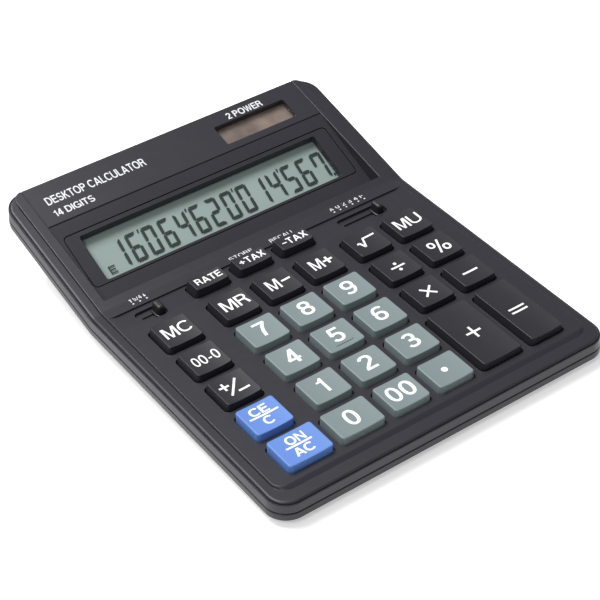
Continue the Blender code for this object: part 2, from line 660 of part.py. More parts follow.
def make_switch(name, switch, materials, deck):
    """A slide knob with its finger fin, and the spring contact it pushes along the board."""
    x = switch["rest"]
    bm = bmesh.new()
    levels = [
        (-8.5, x - 0.8, x + 0.8, SLOT_Y - 0.7, SLOT_Y + 0.7, 0.2),
        (-4.25, x - 0.8, x + 0.8, SLOT_Y - 0.7, SLOT_Y + 0.7, 0.2),
        (-4.25, x - 2.4, x + 2.4, SLOT_Y - 3.3, SLOT_Y + 3.3, 1.6),
        (-3.9, x - 2.4, x + 2.4, SLOT_Y - 3.3, SLOT_Y + 3.3, 1.6),
        (-3.6, x - 2.0, x + 2.0, SLOT_Y - 3.0, SLOT_Y + 3.0, 1.3),
        (-3.4, x - 1.3, x + 1.3, SLOT_Y - 2.9, SLOT_Y + 2.9, 0.8),
        (-0.1, x - 1.0, x + 1.0, SLOT_Y - 2.8, SLOT_Y + 2.8, 0.8),
        (0.3, x - 0.6, x + 0.6, SLOT_Y - 2.4, SLOT_Y + 2.4, 0.5),
    ]
    stack(bm, levels, 2)
    place(f"{name}_switch_knob", bm, materials["knob"], deck, (x, SLOT_Y, 0.0))
    bm = bmesh.new()
    box(bm, x - 3.0, x + 3.0, SLOT_Y - 1.5, SLOT_Y + 1.5, -9.55, -8.8)
    place(f"{name}_switch_contact", bm, materials["metal"], deck, (x, SLOT_Y, 0.0))


def build():
    clear_scene()
    materials = {
        "case": material("dark_grey_case", (0.052, 0.050, 0.057), 0.55),
        "bezel": material("dark_grey_bezel", (0.052, 0.050, 0.057), 0.5),
        "black": material("black_plastic", (0.02, 0.02, 0.022), 0.5),
        "knob": material("black_knob", (0.03, 0.03, 0.034), 0.45),
        "key_black": material("black_key", (0.042, 0.040, 0.045), 0.5),
        "key_grey": material("grey_green_key", (0.27, 0.33, 0.34), 0.5),
        "key_blue": material("blue_key", (0.17, 0.27, 0.78), 0.5),
        "lcd": material("lcd_glass", (0.36, 0.44, 0.40), 0.15),
        "clear": material("clear_window", (0.8, 0.8, 0.8), 0.05, 0.0, 0.3),
        "solar": material("solar_brown", (0.12, 0.07, 0.06), 0.25),
        "board": material("board_green", (0.03, 0.15, 0.06), 0.5),
        "film": material("film_amber", (0.45, 0.22, 0.05), 0.4),
        "rubber": material("rubber_grey", (0.10, 0.10, 0.11), 0.85),
        "metal": material("plated_steel", (0.60, 0.60, 0.58), 0.3, 1.0),
    }
    deck = frame("deck_frame", None, DECK_ORIGIN_Y, DECK_ORIGIN_Z, DECK_TILT)
    panel = frame("panel_frame", deck, PANEL_Y, PANEL_Z, PANEL_ANGLE)
    label = frame("label_frame", deck, POCKET_BACK, rail_z(POCKET_BACK) - LABEL_DROP, FOLD_ANGLE)
    keys = key_list()
    make_upper_case(materials["case"], deck, panel, label, keys)
    make_lower_case(materials["case"], deck)
    make_display(materials, deck, panel, label)
    make_electronics(materials, deck, keys)
    make_fasteners_and_feet(materials, deck)
    for key in keys:
        make_key(key, materials["key_" + key["finish"]], deck)
    for name, switch in SWITCHES.items():
        make_switch(name, switch, materials, deck)


build()
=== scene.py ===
import json
import math

import bmesh
import bpy
from mathutils import Matrix, Vector


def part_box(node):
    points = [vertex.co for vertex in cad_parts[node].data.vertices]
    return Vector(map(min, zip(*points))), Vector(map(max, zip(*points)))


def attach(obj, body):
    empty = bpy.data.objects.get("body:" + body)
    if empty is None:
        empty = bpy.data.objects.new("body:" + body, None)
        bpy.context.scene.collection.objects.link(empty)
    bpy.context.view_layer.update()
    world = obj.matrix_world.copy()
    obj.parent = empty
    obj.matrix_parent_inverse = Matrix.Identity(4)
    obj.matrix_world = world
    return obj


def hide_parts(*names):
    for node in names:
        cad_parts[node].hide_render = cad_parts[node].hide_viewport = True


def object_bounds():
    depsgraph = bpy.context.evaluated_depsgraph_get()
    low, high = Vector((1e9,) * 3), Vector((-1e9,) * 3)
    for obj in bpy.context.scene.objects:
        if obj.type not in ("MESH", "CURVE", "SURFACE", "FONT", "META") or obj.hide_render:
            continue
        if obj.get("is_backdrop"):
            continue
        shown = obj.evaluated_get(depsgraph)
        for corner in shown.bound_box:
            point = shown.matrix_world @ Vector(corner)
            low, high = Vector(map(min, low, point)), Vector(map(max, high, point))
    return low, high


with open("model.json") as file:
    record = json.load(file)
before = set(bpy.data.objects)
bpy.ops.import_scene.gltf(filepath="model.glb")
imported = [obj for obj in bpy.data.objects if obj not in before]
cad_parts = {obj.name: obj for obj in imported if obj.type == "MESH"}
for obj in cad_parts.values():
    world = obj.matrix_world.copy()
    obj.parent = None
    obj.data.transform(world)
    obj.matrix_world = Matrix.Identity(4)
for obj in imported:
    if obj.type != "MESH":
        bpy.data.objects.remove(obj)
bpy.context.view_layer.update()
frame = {"nodes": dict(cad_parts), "record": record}

# ---- Camera ----------------------------------------------------------------------------------------
# It stands to the front left of the calculator and looks down on the keys.
camera_data = bpy.data.cameras.new("camera")
camera_data.lens = 107.5
camera_data.sensor_width = 36.0
camera = bpy.data.objects.new("camera", camera_data)
camera.location = (-0.307184, -0.463373, 0.442096)
camera.rotation_euler = [math.radians(angle) for angle in (51.7808, 2.4585, -35.6142)]
bpy.context.scene.collection.objects.link(camera)
bpy.context.scene.camera = camera

# ---- Planes of the calculator ----------------------------------------------------------------------
# The case is laid out in millimetres on a deck that leans back, with its zero at the tops of the keys.
# The display part is folded up from the deck, and its panel is sunk into it at a steeper slope.
MM = 0.001
FOLD_Y = 56.0
FOLD_RADIUS = 1.2
FOLD_SLOPE = math.tan(math.radians(13.6))
DECK_TILT = math.radians(2.0)
DECK_ORIGIN = Vector((0.0, -26.94, 17.21))
PANEL_TILT = math.radians(22.5)
PANEL_ORIGIN = Vector((0.0, 73.03, -4.15))
DECK_Z = -2.9
CREASE_Y = 101.7
LABEL_DROP = 0.3

WORLD = Matrix.Scale(MM, 4)
DECK = Matrix.Translation(DECK_ORIGIN * MM) @ Matrix.Rotation(DECK_TILT, 4, "X") @ WORLD
PANEL_ON_DECK = Matrix.Translation(PANEL_ORIGIN) @ Matrix.Rotation(PANEL_TILT, 4, "X")
PANEL = DECK @ PANEL_ON_DECK


def fold_rise(y):
    past = y - FOLD_Y
    if past <= -FOLD_RADIUS:
        return 0.0
    if past >= FOLD_RADIUS:
        return past * FOLD_SLOPE
    return (past + FOLD_RADIUS) ** 2 / (4.0 * FOLD_RADIUS) * FOLD_SLOPE


LABEL_ORIGIN = Vector((0.0, CREASE_Y, DECK_Z + fold_rise(CREASE_Y) - LABEL_DROP))
LABEL_ON_DECK = Matrix.Translation(LABEL_ORIGIN) @ Matrix.Rotation(math.atan(FOLD_SLOPE), 4, "X")
LABEL = DECK @ LABEL_ON_DECK


def panel_z(y):
    return PANEL_ORIGIN.z + (y - PANEL_ORIGIN.y) * math.tan(PANEL_TILT)


def everything(bm):
    return bm.verts[:] + bm.edges[:] + bm.faces[:]


def rounded_face(bm, x0, x1, y0, y1, radius, z, segments):
    """Adds a flat rounded rectangle and returns its face."""
    known = set(bm.faces)
    corners = [bm.verts.new(point) for point in ((x0, y0, z), (x1, y0, z), (x1, y1, z), (x0, y1, z))]
    bm.faces.new(corners)
    if radius > 0.0:
        bmesh.ops.bevel(
            bm, geom=corners, offset=radius, offset_type="OFFSET", segments=segments, profile=0.5,
            affect="VERTICES", material=-1,
        )
    return [face for face in bm.faces if face not in known][0]


LEVEL_STEP = 0.004


def through(levels, segments=6):
    """A closed solid through rounded rectangles (z, x0, x1, y0, y1, radius), from one end to the other."""
    bm = bmesh.new()
    faces = []
    before = None
    for z, *shape in levels:
        if before is not None and abs(z - before) < LEVEL_STEP:
            z = before + LEVEL_STEP
        before = z
        faces.append(rounded_face(bm, *shape, z, segments))
    loops = [list(face.edges) for face in faces]
    bmesh.ops.delete(bm, geom=faces[1:-1], context="FACES_ONLY")
    for lower, upper in zip(loops, loops[1:]):
        bmesh.ops.bridge_loops(bm, edges=lower + upper)
    bmesh.ops.recalc_face_normals(bm, faces=bm.faces)
    return bm


def drawn_out(points, along):
    """A closed solid from a flat outline of points, drawn out along a vector."""
    bm = bmesh.new()
    face = bm.faces.new([bm.verts.new(point) for point in points])
    made = bmesh.ops.extrude_face_region(bm, geom=[face])
    moved = [item for item in made["geom"] if isinstance(item, bmesh.types.BMVert)]
    bmesh.ops.translate(bm, vec=along, verts=moved)
    bmesh.ops.recalc_face_normals(bm, faces=bm.faces)
    return bm


def across(outline, x0, x1):
    """A solid drawn out from x0 to x1, from an outline of (y, z) points."""
    return drawn_out([(x0, y, z) for y, z in outline], (x1 - x0, 0.0, 0.0))


def rod(x, y, z0, z1, radius, sides=32, top_radius=None):
    bm = bmesh.new()
    top = radius if top_radius is None else top_radius
    bmesh.ops.create_cone(bm, cap_ends=True, segments=sides, radius1=radius, radius2=top, depth=z1 - z0)
    bmesh.ops.translate(bm, vec=(x, y, (z0 + z1) / 2.0), verts=bm.verts)
    return bm


def joined(*parts):
    """Several solids in one bmesh."""
    whole = bmesh.new()
    for part in parts:
        mesh = bpy.data.meshes.new("part")
        part.to_mesh(mesh)
        part.free()
        whole.from_mesh(mesh)
        bpy.data.meshes.remove(mesh)
    return whole


def folded(bm):
    """Bends a solid laid out flat, so that it climbs behind the fold line."""
    for step in (-1.0, -0.5, 0.0, 0.5, 1.0):
        line = (0.0, FOLD_Y + step * FOLD_RADIUS, 0.0)
        bmesh.ops.bisect_plane(bm, geom=everything(bm), dist=1e-4, plane_co=line, plane_no=(0.0, 1.0, 0.0))
    for vert in bm.verts:
        vert.co.z += fold_rise(vert.co.y)
    return bm


def placed(bm, matrix):
    bm.transform(matrix)
    return bm


def blank(name, bm):
    """An unfinished piece, still in millimetres on its plane."""
    mesh = bpy.data.meshes.new(name)
    bm.to_mesh(mesh)
    bm.free()
    piece = bpy.data.objects.new(name, mesh)
    bpy.context.scene.collection.objects.link(piece)
    return piece


def machined(piece, tool_bm, operation):
    """Cuts a solid from the piece, or joins one to it, for good."""
    tool = blank("tool", tool_bm)
    modifier = piece.modifiers.new("tool", "BOOLEAN")
    modifier.operation = operation
    modifier.object = tool
    modifier.solver = "EXACT"
    bpy.context.view_layer.update()
    made = piece.evaluated_get(bpy.context.evaluated_depsgraph_get())
    mesh = bpy.data.meshes.new_from_object(made)
    piece.modifiers.clear()
    old = piece.data
    piece.data = mesh
    bpy.data.meshes.remove(old)
    mesh_of_tool = tool.data
    bpy.data.objects.remove(tool, do_unlink=True)
    bpy.data.meshes.remove(mesh_of_tool)


def cut(piece, tool_bm):
    machined(piece, tool_bm, "DIFFERENCE")


def built_on(piece, tool_bm):
    machined(piece, tool_bm, "UNION")


def finished(piece, matrix, material, body, sharp=38.0, stands_for=()):
    """Puts the piece in its place, smooths it and hangs it on its body."""
    bm = bmesh.new()
    bm.from_mesh(piece.data)
    bmesh.ops.remove_doubles(bm, verts=bm.verts, dist=0.002)
    bmesh.ops.dissolve_degenerate(bm, edges=bm.edges, dist=0.001)
    bmesh.ops.recalc_face_normals(bm, faces=bm.faces)
    bm.transform(matrix)
    bm.to_mesh(piece.data)
    bm.free()
    piece.data.materials.clear()
    piece.data.materials.append(material)
    piece.data.shade_smooth()
    piece.data.set_sharp_from_angle(angle=math.radians(sharp))
    weighting = piece.modifiers.new("even_faces", "WEIGHTED_NORMAL")
    weighting.keep_sharp = True
    weighting.weight = 90
    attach(piece, body)
    if stands_for:
        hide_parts(*stands_for)
    return piece


# ---- Moulded plastic -------------------------------------------------------------------------------
# Every plastic piece has the fine eroded grain of its mould, a slight unevenness of colour, and
# patches that fingers have polished a little.


def new_group(name, inputs, outputs):
    group = bpy.data.node_groups.new(name, "ShaderNodeTree")
    for label, kind, value in inputs:
        socket = group.interface.new_socket(name=label, in_out="INPUT", socket_type=kind)
        socket.default_value = value
    for label, kind in outputs:
        group.interface.new_socket(name=label, in_out="OUTPUT", socket_type=kind)
    return group


def node(tree, kind, values=None, links=None, **settings):
    """Adds a node, sets its sockets and links what it reads."""
    made = tree.nodes.new(kind)
    for key, value in settings.items():
        setattr(made, key, value)
    for key, value in (values or {}).items():
        made.inputs[key].default_value = value
    for key, source in (links or {}).items():
        tree.links.new(source, made.inputs[key])
    return made


def maths(tree, operation, *terms):
    """A Math node on numbers and sockets. Gives its result."""
    made = node(tree, "ShaderNodeMath", operation=operation)
    for term, socket in zip(terms, made.inputs):
        if isinstance(term, bpy.types.NodeSocket):
            tree.links.new(term, socket)
        else:
            socket.default_value = term
    return made.outputs[0]


def noise(tree, place, scale, detail, roughness=0.5):
    values = {"Scale": scale, "Detail": detail, "Roughness": roughness}
    return node(tree, "ShaderNodeTexNoise", values, {"Vector": place}).outputs[0]


def bumps(tree, height, strength, distance):
    values = {"Strength": strength, "Distance": distance}
    return node(tree, "ShaderNodeBump", values, {"Height": height}).outputs[0]


def new_material(name, values):
    """A material with these values on its shader. Gives its nodes and the shader's sockets too."""
    material = bpy.data.materials.new(name)
    material.use_nodes = True
    tree = material.node_tree
    shader = tree.nodes["Principled BSDF"].inputs
    for key, value in values.items():
        shader[key].default_value = value
    return material, tree, shader


def build_moulded_group():
    group = new_group(
        "moulded_surface",
        [
            ("Colour", "NodeSocketColor", (0.5, 0.5, 0.5, 1.0)),
            ("Roughness", "NodeSocketFloat", 0.5),
            ("Grain Size", "NodeSocketFloat", 0.0003),
            ("Unevenness", "NodeSocketFloat", 0.06),
            ("Polish", "NodeSocketFloat", 0.08),
        ],
        [("Colour", "NodeSocketColor"), ("Roughness", "NodeSocketFloat"), ("Grain", "NodeSocketFloat")],
    )
    given = group.nodes.new("NodeGroupInput").outputs
    place = node(group, "ShaderNodeTexCoord").outputs["Object"]
    pattern = {"Vector": place, "Scale": maths(group, "DIVIDE", 1.0, given["Grain Size"])}
    fine = node(group, "ShaderNodeTexNoise", {"Detail": 2.0, "Roughness": 0.55}, pattern).outputs[0]
    pits = node(group, "ShaderNodeTexVoronoi", {"Randomness": 1.0}, pattern, feature="SMOOTH_F1")
    grain = maths(group, "MULTIPLY_ADD", fine, 0.5, pits.outputs["Distance"])
    broad = maths(group, "SUBTRACT", noise(group, place, 45.0, 3.0, 0.6), 0.5)
    uneven = maths(group, "ADD", broad, maths(group, "SUBTRACT", fine, 0.5))
    brightness = maths(group, "MULTIPLY_ADD", uneven, given["Unevenness"], 1.0)
    tinted = {0: given["Colour"], "Scale": brightness}
    colour = node(group, "ShaderNodeVectorMath", {}, tinted, operation="SCALE").outputs[0]
    patch = maths(group, "SUBTRACT", noise(group, place, 160.0, 4.0, 0.65), 0.5)
    rough = maths(group, "MULTIPLY_ADD", patch, given["Polish"], given["Roughness"])
    result = group.nodes.new("NodeGroupOutput").inputs
    group.links.new(colour, result["Colour"])
    group.links.new(rough, result["Roughness"])
    group.links.new(grain, result["Grain"])
    return group


moulded_surface = build_moulded_group()


def moulded(
    name, colour, roughness, grain_size=0.0003, grain_depth=0.25, unevenness=0.08, polish=0.1, specular=0.5
):
    """A plastic with the mould's grain. Grain depth is the strength of its bump."""
    material, tree, shader = new_material(name, {"Specular IOR Level": specular})
    values = {
        "Colour": (*colour, 1.0), "Roughness": roughness, "Grain Size": grain_size, "Unevenness": unevenness,
        "Polish": polish,
    }
    surface = node(tree, "ShaderNodeGroup", values, node_tree=moulded_surface).outputs
    tree.links.new(surface["Colour"], shader["Base Color"])
    tree.links.new(surface["Roughness"], shader["Roughness"])
    tree.links.new(bumps(tree, surface["Grain"], grain_depth, 0.00003), shader["Normal"])
    return material


case_plastic = moulded("case_plastic", (0.0250, 0.0238, 0.0315), 0.37, 0.00035, 0.45, 0.10, 0.10, 0.38)
trim_plastic = moulded("trim_plastic", (0.0240, 0.0230, 0.0305), 0.36, 0.00035, 0.35, 0.08, 0.10, 0.38)
black_plastic = moulded("black_plastic", (0.018, 0.018, 0.020), 0.45, 0.0003, 0.2, 0.08, 0.10)

# ---- Upper case ------------------------------------------------------------------------------------
# One injection moulding of dark grey ABS: a thin rim, a ledge inside a softly rounded lip, and the
# raised deck with its key holes. Behind the fold it holds the sunk display pocket and the label strip.
CASE = (-76.3, 76.3, -70.6, 124.3)
CASE_CORNER = 9.0
POCKET_HALF_X = 66.9
POCKET_FRONT = 60.2


def case_ring(z, offset):
    x0, x1, y0, y1 = CASE
    return (z, x0 - offset, x1 + offset, y0 - offset, y1 + offset, CASE_CORNER + offset)


def deck_ring(z, half_x, front, back, radius):
    return (z, -half_x, half_x, front, back, radius)


rim = [
    (-8.3, -0.12), (-8.2, 0.0), (-5.3, -0.22), (-4.95, -0.27), (-4.75, -0.34), (-4.62, -0.46), (-4.62, -0.56),
    (-4.78, -0.62), (-5.05, -0.64), (-5.05, -0.94), (-4.62, -0.97), (-4.4, -1.04), (-4.2, -1.17),
    (-4.04, -1.38),
    (-3.94, -1.68), (-3.9, -2.1),
]
upper_case = blank("upper_case_shell", folded(through([case_ring(z, offset) for z, offset in rim], 14)))
plateau = [
    deck_ring(-4.6, 71.62, -64.3, 123.4, 6.2), deck_ring(-3.93, 71.6, -64.25, 123.4, 6.15),
    deck_ring(-3.84, 71.5, -64.0, 123.35, 6.0), deck_ring(-3.2, 71.38, -62.7, 123.2, 4.8),
    deck_ring(-3.02, 71.3, -62.3, 123.15, 4.4), deck_ring(-2.93, 71.18, -62.0, 123.05, 4.2),
    deck_ring(-2.9, 70.95, -61.7, 122.9, 4.0),
]
built_on(upper_case, folded(through(plateau, 10)))
hollow = [
    deck_ring(-9.5, 74.2, -68.5, 122.2, 7.0), deck_ring(-5.7, 74.2, -68.5, 122.2, 7.0),
    deck_ring(-5.7, 69.6, -60.4, 121.4, 3.5), deck_ring(-4.7, 69.6, -60.4, 121.4, 3.5),
]
cut(upper_case, folded(through(hollow, 4)))

pocket_floor = panel_z(POCKET_FRONT) - 1.54
wall_front = POCKET_FRONT - 1.6
under_back = CREASE_Y + 0.8
corner_y = PANEL_ORIGIN.y + (pocket_floor + 1.6 - PANEL_ORIGIN.z) / math.tan(PANEL_TILT)
pocket_walls = [
    (wall_front, DECK_Z + fold_rise(wall_front) - 0.5), (wall_front, pocket_floor), (corner_y, pocket_floor),
    (under_back, panel_z(under_back) - 1.6), (under_back, DECK_Z + fold_rise(under_back) - 0.5),
]
built_on(upper_case, across(pocket_walls, -68.6, 68.6))

SLOT_FRONT = 40.3
SLOT_BACK = 47.7
SLOT_FLOOR_Z = -4.5
SLOT_FLOOR_THICK = 0.5
SLOTS = {"rounding_switch": (-61.9, -49.7), "decimal_switch": (34.7, 56.8)}
slot_floors = []
for x0, x1 in SLOTS.values():
    around = (x0 - 1.5, x1 + 1.5, SLOT_FRONT - 1.3, SLOT_BACK + 1.3, 0.0)
    slot_floors.append(through([(SLOT_FLOOR_Z - SLOT_FLOOR_THICK, *around), (-4.2, *around)], 1))
built_on(upper_case, joined(*slot_floors))
SOLAR_OPENING = (21.7, 57.3, 3.8, 14.7)
left, right, front, back = SOLAR_OPENING
SOLAR_PAD = (left - 3.0, right + 3.0, front - 2.0, back + 2.0, 0.0)
solar_pad = placed(through([(-2.2, *SOLAR_PAD), (-0.6, *SOLAR_PAD)], 1), LABEL_ON_DECK)
built_on(upper_case, solar_pad)

behind = CASE[3] + 3.0
pocket = [
    (POCKET_FRONT, panel_z(POCKET_FRONT)),
    (CREASE_Y - 0.15, panel_z(CREASE_Y - 0.15)),
    (CREASE_Y - 0.05, panel_z(CREASE_Y) - 0.45),
    (CREASE_Y + 0.25, panel_z(CREASE_Y) - 0.45),
    (CREASE_Y + 0.35, DECK_Z + fold_rise(CREASE_Y + 0.35) - LABEL_DROP - 0.12),
    (CREASE_Y + 0.7, DECK_Z + fold_rise(CREASE_Y + 0.7) - LABEL_DROP),
    (behind, DECK_Z + fold_rise(behind) - LABEL_DROP),
    (behind, DECK_Z + fold_rise(behind) + 4.0),
    (POCKET_FRONT, DECK_Z + fold_rise(POCKET_FRONT) + 4.0),
]
cut(upper_case, across(pocket, -POCKET_HALF_X, POCKET_HALF_X))

# The mouth of the pocket has a small rounding along both rails and along the front.
rounding = [
    (-0.6, 0.5), (-0.6, -0.45), (0.0, -0.45), (0.04, -0.25), (0.14, -0.1), (0.3, -0.02), (0.42, 0.02),
    (0.42, 0.5),
]


def rail_rounding(side):
    outline = [(side * (POCKET_HALF_X + out), POCKET_FRONT - 0.1, DECK_Z + up) for out, up in rounding]
    bm = drawn_out(outline, (0.0, behind - POCKET_FRONT, 0.0))
    for vert in bm.verts:
        vert.co.z += fold_rise(vert.co.y)
    return bm


cut(upper_case, rail_rounding(-1.0))
cut(upper_case, rail_rounding(1.0))
mouth = [(POCKET_FRONT - out, DECK_Z + fold_rise(POCKET_FRONT - out) + up) for out, up in rounding]
cut(upper_case, across(mouth, -POCKET_HALF_X, POCKET_HALF_X))

# The floor that the switches and the small keys stand in sinks towards its back wall.
band = bmesh.new()
for x, y, z in (
    (70.75, 39.6, -2.87), (70.75, 50.5, -2.9), (67.2, 50.45, -3.6), (70.75, 39.6, -1.5), (70.75, 50.55, -1.5),
):
    band.verts.new((x, y, z))
    band.verts.new((-x, y, z))
bmesh.ops.convex_hull(band, input=band.verts[:])
bmesh.ops.recalc_face_normals(band, faces=band.faces)
cut(upper_case, band)

KEY_NODES = sorted(name for name in frame["nodes"] if name.startswith("key_"))
FLANGE = 0.7
FLANGE_MIDDLE_Z = -5.4
SMALL_KEY_DEPTH = 12.0


def key_hole(name):
    """Centre and size of the hole that a key moves in, read from its node's flange."""
    low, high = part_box(name)
    x = (low[0] + high[0]) / 2.0 / MM
    flat = DECK.inverted() @ Vector((0.0, (low[1] + high[1]) / 2.0, 0.0))
    y = flat.y + (FLANGE_MIDDLE_Z - flat.z) * math.tan(DECK_TILT)
    width = round((high[0] - low[0]) / MM - 2.0 * FLANGE, 1)
    depth = round((high[1] - low[1]) / MM - 2.0 * FLANGE, 1)
    return x, y, width, depth


def hole_cutter(name):
    x, y, width, depth = key_hole(name)
    half_x, half_y = width / 2.0, depth / 2.0
    edge = [(-6.0, 0.0), (-1.5, 0.0)]
    if depth >= SMALL_KEY_DEPTH:
        edge = [(-6.0, 0.0), (-3.3, 0.0), (-3.12, 0.03), (-2.98, 0.11), (-2.89, 0.26), (-2.3, 0.3)]
    return through(
        [(z, x - half_x - o, x + half_x + o, y - half_y - o, y + half_y + o, 2.0 + o) for z, o in edge], 5
    )


openings = [hole_cutter(name) for name in KEY_NODES]
slits = []
for x0, x1 in SLOTS.values():
    openings.append(through([(z, x0, x1, SLOT_FRONT, SLOT_BACK, 2.0) for z in (SLOT_FLOOR_Z, -1.5)], 6))
    slit = (x0 + 2.2, x1 - 1.5, 43.2, 44.8, 0.0)
    slits.append(through([(SLOT_FLOOR_Z - 2.0, *slit), (SLOT_FLOOR_Z + 0.5, *slit)], 1))
cut(upper_case, joined(*openings))
cut(upper_case, joined(*slits))

BEZEL = (-64.2, 64.2, -1.4, 24.4)
WINDOW = (-57.8, 57.5, 0.0, 22.2)
BEZEL_GAP = 0.3


def grown(rectangle, by):
    x0, x1, y0, y1 = rectangle
    return (x0 - by, x1 + by, y0 - by, y1 + by)


display_opening = [
    (-5.0, *grown(BEZEL, BEZEL_GAP), 2.3), (-0.18, *grown(BEZEL, BEZEL_GAP), 2.3),
    (-0.05, *grown(BEZEL, BEZEL_GAP + 0.04), 2.34), (0.02, *grown(BEZEL, BEZEL_GAP + 0.16), 2.46),
    (2.0, *grown(BEZEL, BEZEL_GAP + 0.16), 2.46),
]
cut(upper_case, placed(through(display_opening, 8), PANEL_ON_DECK))
solar_hole = [
    (-4.0, *SOLAR_OPENING, 0.8), (-0.12, *SOLAR_OPENING, 0.8), (0.02, *grown(SOLAR_OPENING, 0.14), 0.94),
    (2.0, *grown(SOLAR_OPENING, 0.14), 0.94),
]
cut(upper_case, placed(through(solar_hole, 6), LABEL_ON_DECK))
finished(upper_case, DECK, case_plastic, "case", 32.0, ["upper_case"])

# ---- Lower case ------------------------------------------------------------------------------------
# The second half of the case, moulded in the same plastic: a band under the seam, a shallow tray that
# follows the fold, and the block at the back that holds the cell and stands on the rear feet.
BASE_CLEARANCE = 1.3
BLOCK = (-69.5, 69.5, 54.0, 116.0)
SCREW_PLACES = [(-67.6, -52.0), (67.6, -52.0), (-42.1, -2.5), (-64.0, 112.0), (64.0, 112.0)]

band_and_tray = [
    (-13.9, -3.7), (-13.86, -3.3), (-13.7, -3.0), (-12.2, -0.95), (-11.95, -0.5), (-11.75, -0.1),
    (-11.45, 0.16), (-11.1, 0.2), (-9.2, 0.12), (-8.95, 0.05), (-8.78, -0.1), (-8.7, -0.3),
]
shell = folded(through([case_ring(z, offset) for z, offset in band_and_tray], 14))
lower_case = blank("lower_case_shell", shell)


def table_z(y, height):
    """Height on the deck's scale, at y, of a plane this far above the table."""
    return (height - DECK_ORIGIN.z - y * math.sin(DECK_TILT)) / math.cos(DECK_TILT)


def block_level(y):
    return table_z(y, BASE_CLEARANCE)


def block_top(y):
    return -13.1 + fold_rise(y)


def block_shoulder(y):
    return max(block_level(y) + 2.0, block_level(y) * 0.7 + block_top(y) * 0.3)


def rear_block(rings, segments):
    """A block through rings of (inset, radius, height over y)."""
    x0, x1, y0, y1 = BLOCK
    flat = []
    for i, (inset, radius, _) in enumerate(rings):
        flat.append((float(i), x0 + inset, x1 - inset, y0 + inset, y1 - inset, radius))
    bm = through(flat, segments)
    for vert in bm.verts:
        vert.co.z = rings[round(vert.co.z)][2](vert.co.y)
    return bm


outside = [
    (9.3, 4.6, block_level),
    (8.6, 5.0, lambda y: block_level(y) + 0.15),
    (8.2, 5.2, lambda y: block_level(y) + 0.5),
    (5.2, 6.0, lambda y: block_shoulder(y) - 0.2),
    (4.6, 6.2, lambda y: block_shoulder(y) + 0.4),
    (0.0, 7.0, block_top),
]
built_on(lower_case, rear_block(outside, 8))
tray_hollow = [case_ring(-12.2, -4.6), case_ring(-11.2, -2.0), case_ring(-7.0, -2.0)]
cut(lower_case, folded(through(tray_hollow, 4)))
inside = [
    (10.3, 3.5, lambda y: table_z(y, 3.0)), (6.8, 4.5, lambda y: block_shoulder(y) + 1.7),
    (1.9, 5.0, lambda y: -11.2 + fold_rise(y)),
]
cut(lower_case, rear_block(inside, 3))
posts, wells, shanks = [], [], []
for x, y in SCREW_PLACES:
    rise = fold_rise(y)
    posts.append(rod(x, y, -12.8 + rise, -9.0 + rise, 3.4))
    wells.append(rod(x, y, -16.0 + rise, -11.2 + rise, 2.5))
    shanks.append(rod(x, y, -11.6 + rise, -7.7 + rise, 1.3, 20))
built_on(lower_case, joined(*posts))
cut(lower_case, joined(*wells))
cut(lower_case, joined(*shanks))

# A shallow recess for a rating plate, and the doorway with the post that its screw goes into.
RATING_PLATE = (-34.0, 34.0, -2.0, 34.0, 2.0)
cut(lower_case, through([(-15.0, *RATING_PLATE), (-13.6, *RATING_PLATE)], 6))

DOOR_LOW, DOOR_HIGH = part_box("battery_door")
DOOR = (DOOR_LOW[0] / MM, DOOR_HIGH[0] / MM, DOOR_LOW[1] / MM, DOOR_HIGH[1] / MM)
SCREW_X = (DOOR[0] + DOOR[1]) / 2.0
SCREW_Y = DOOR[3] - 2.7
TO_DECK = DECK.inverted() @ WORLD
arm_back = DOOR[3] + 0.3
arm = [
    (arm_back - 5.8, 3.3), (arm_back + 0.2, 3.3), (arm_back + 0.2, 2.0), (arm_back + 4.0, 2.0),
    (arm_back + 4.0, 8.0), (arm_back - 5.8, 8.0),
]
built_on(lower_case, placed(across(arm, SCREW_X - 3.0, SCREW_X + 3.0), TO_DECK))
wide, narrow = (*grown(DOOR, 0.45), 1.35), (*grown(DOOR, 0.3), 1.2)
doorway = through([(0.0, *wide), (1.25, *wide), (1.45, *narrow), (3.25, *narrow)], 6)
cut(lower_case, placed(doorway, TO_DECK))
cut(lower_case, placed(rod(SCREW_X, SCREW_Y, 3.27, 7.4, 1.1, 20), TO_DECK))
finished(lower_case, DECK, case_plastic, "case", 32.0, ["lower_case"])

# ---- Battery door ----------------------------------------------------------------------------------
# A flat plate of the case's plastic with softened edges and a sunk screw head. It closes the cell's well.
door_levels = [
    (1.3, *grown(DOOR, -0.35), 0.7), (1.34, *grown(DOOR, -0.14), 0.9), (1.5, *DOOR, 1.0), (2.9, *DOOR, 1.0),
]
door = blank("battery_door_plate", through(door_levels, 6))
cut(door, rod(SCREW_X, SCREW_Y, 0.5, 2.3, 2.1))
cut(door, rod(SCREW_X, SCREW_Y, 2.0, 4.0, 1.1, 20))
grooves = []
for number in range(4):
    front = DOOR[2] + 2.6 + 1.5 * number
    groove = (DOOR[0] + 3.0, DOOR[1] - 3.0, front, front + 0.6, 0.25)
    grooves.append(through([(1.0, *groove), (1.5, *groove)], 3))
cut(door, joined(*grooves))
finished(door, WORLD, case_plastic, "case", 32.0, ["battery_door"])

# ---- Screws ----------------------------------------------------------------------------------------
# Small plated pan-head screws with a cross recess. Five close the case and one holds the battery door.


def ramp(tree, value, start, dark, end, light):
    """A colour that goes from dark to light as a value goes from start to end."""
    made = node(tree, "ShaderNodeValToRGB", {}, {"Fac": value})
    for stop, position, colour in zip(made.color_ramp.elements, (start, end), (dark, light)):
        stop.position = position
        stop.color = (*colour, 1.0)
    return made.outputs[0]


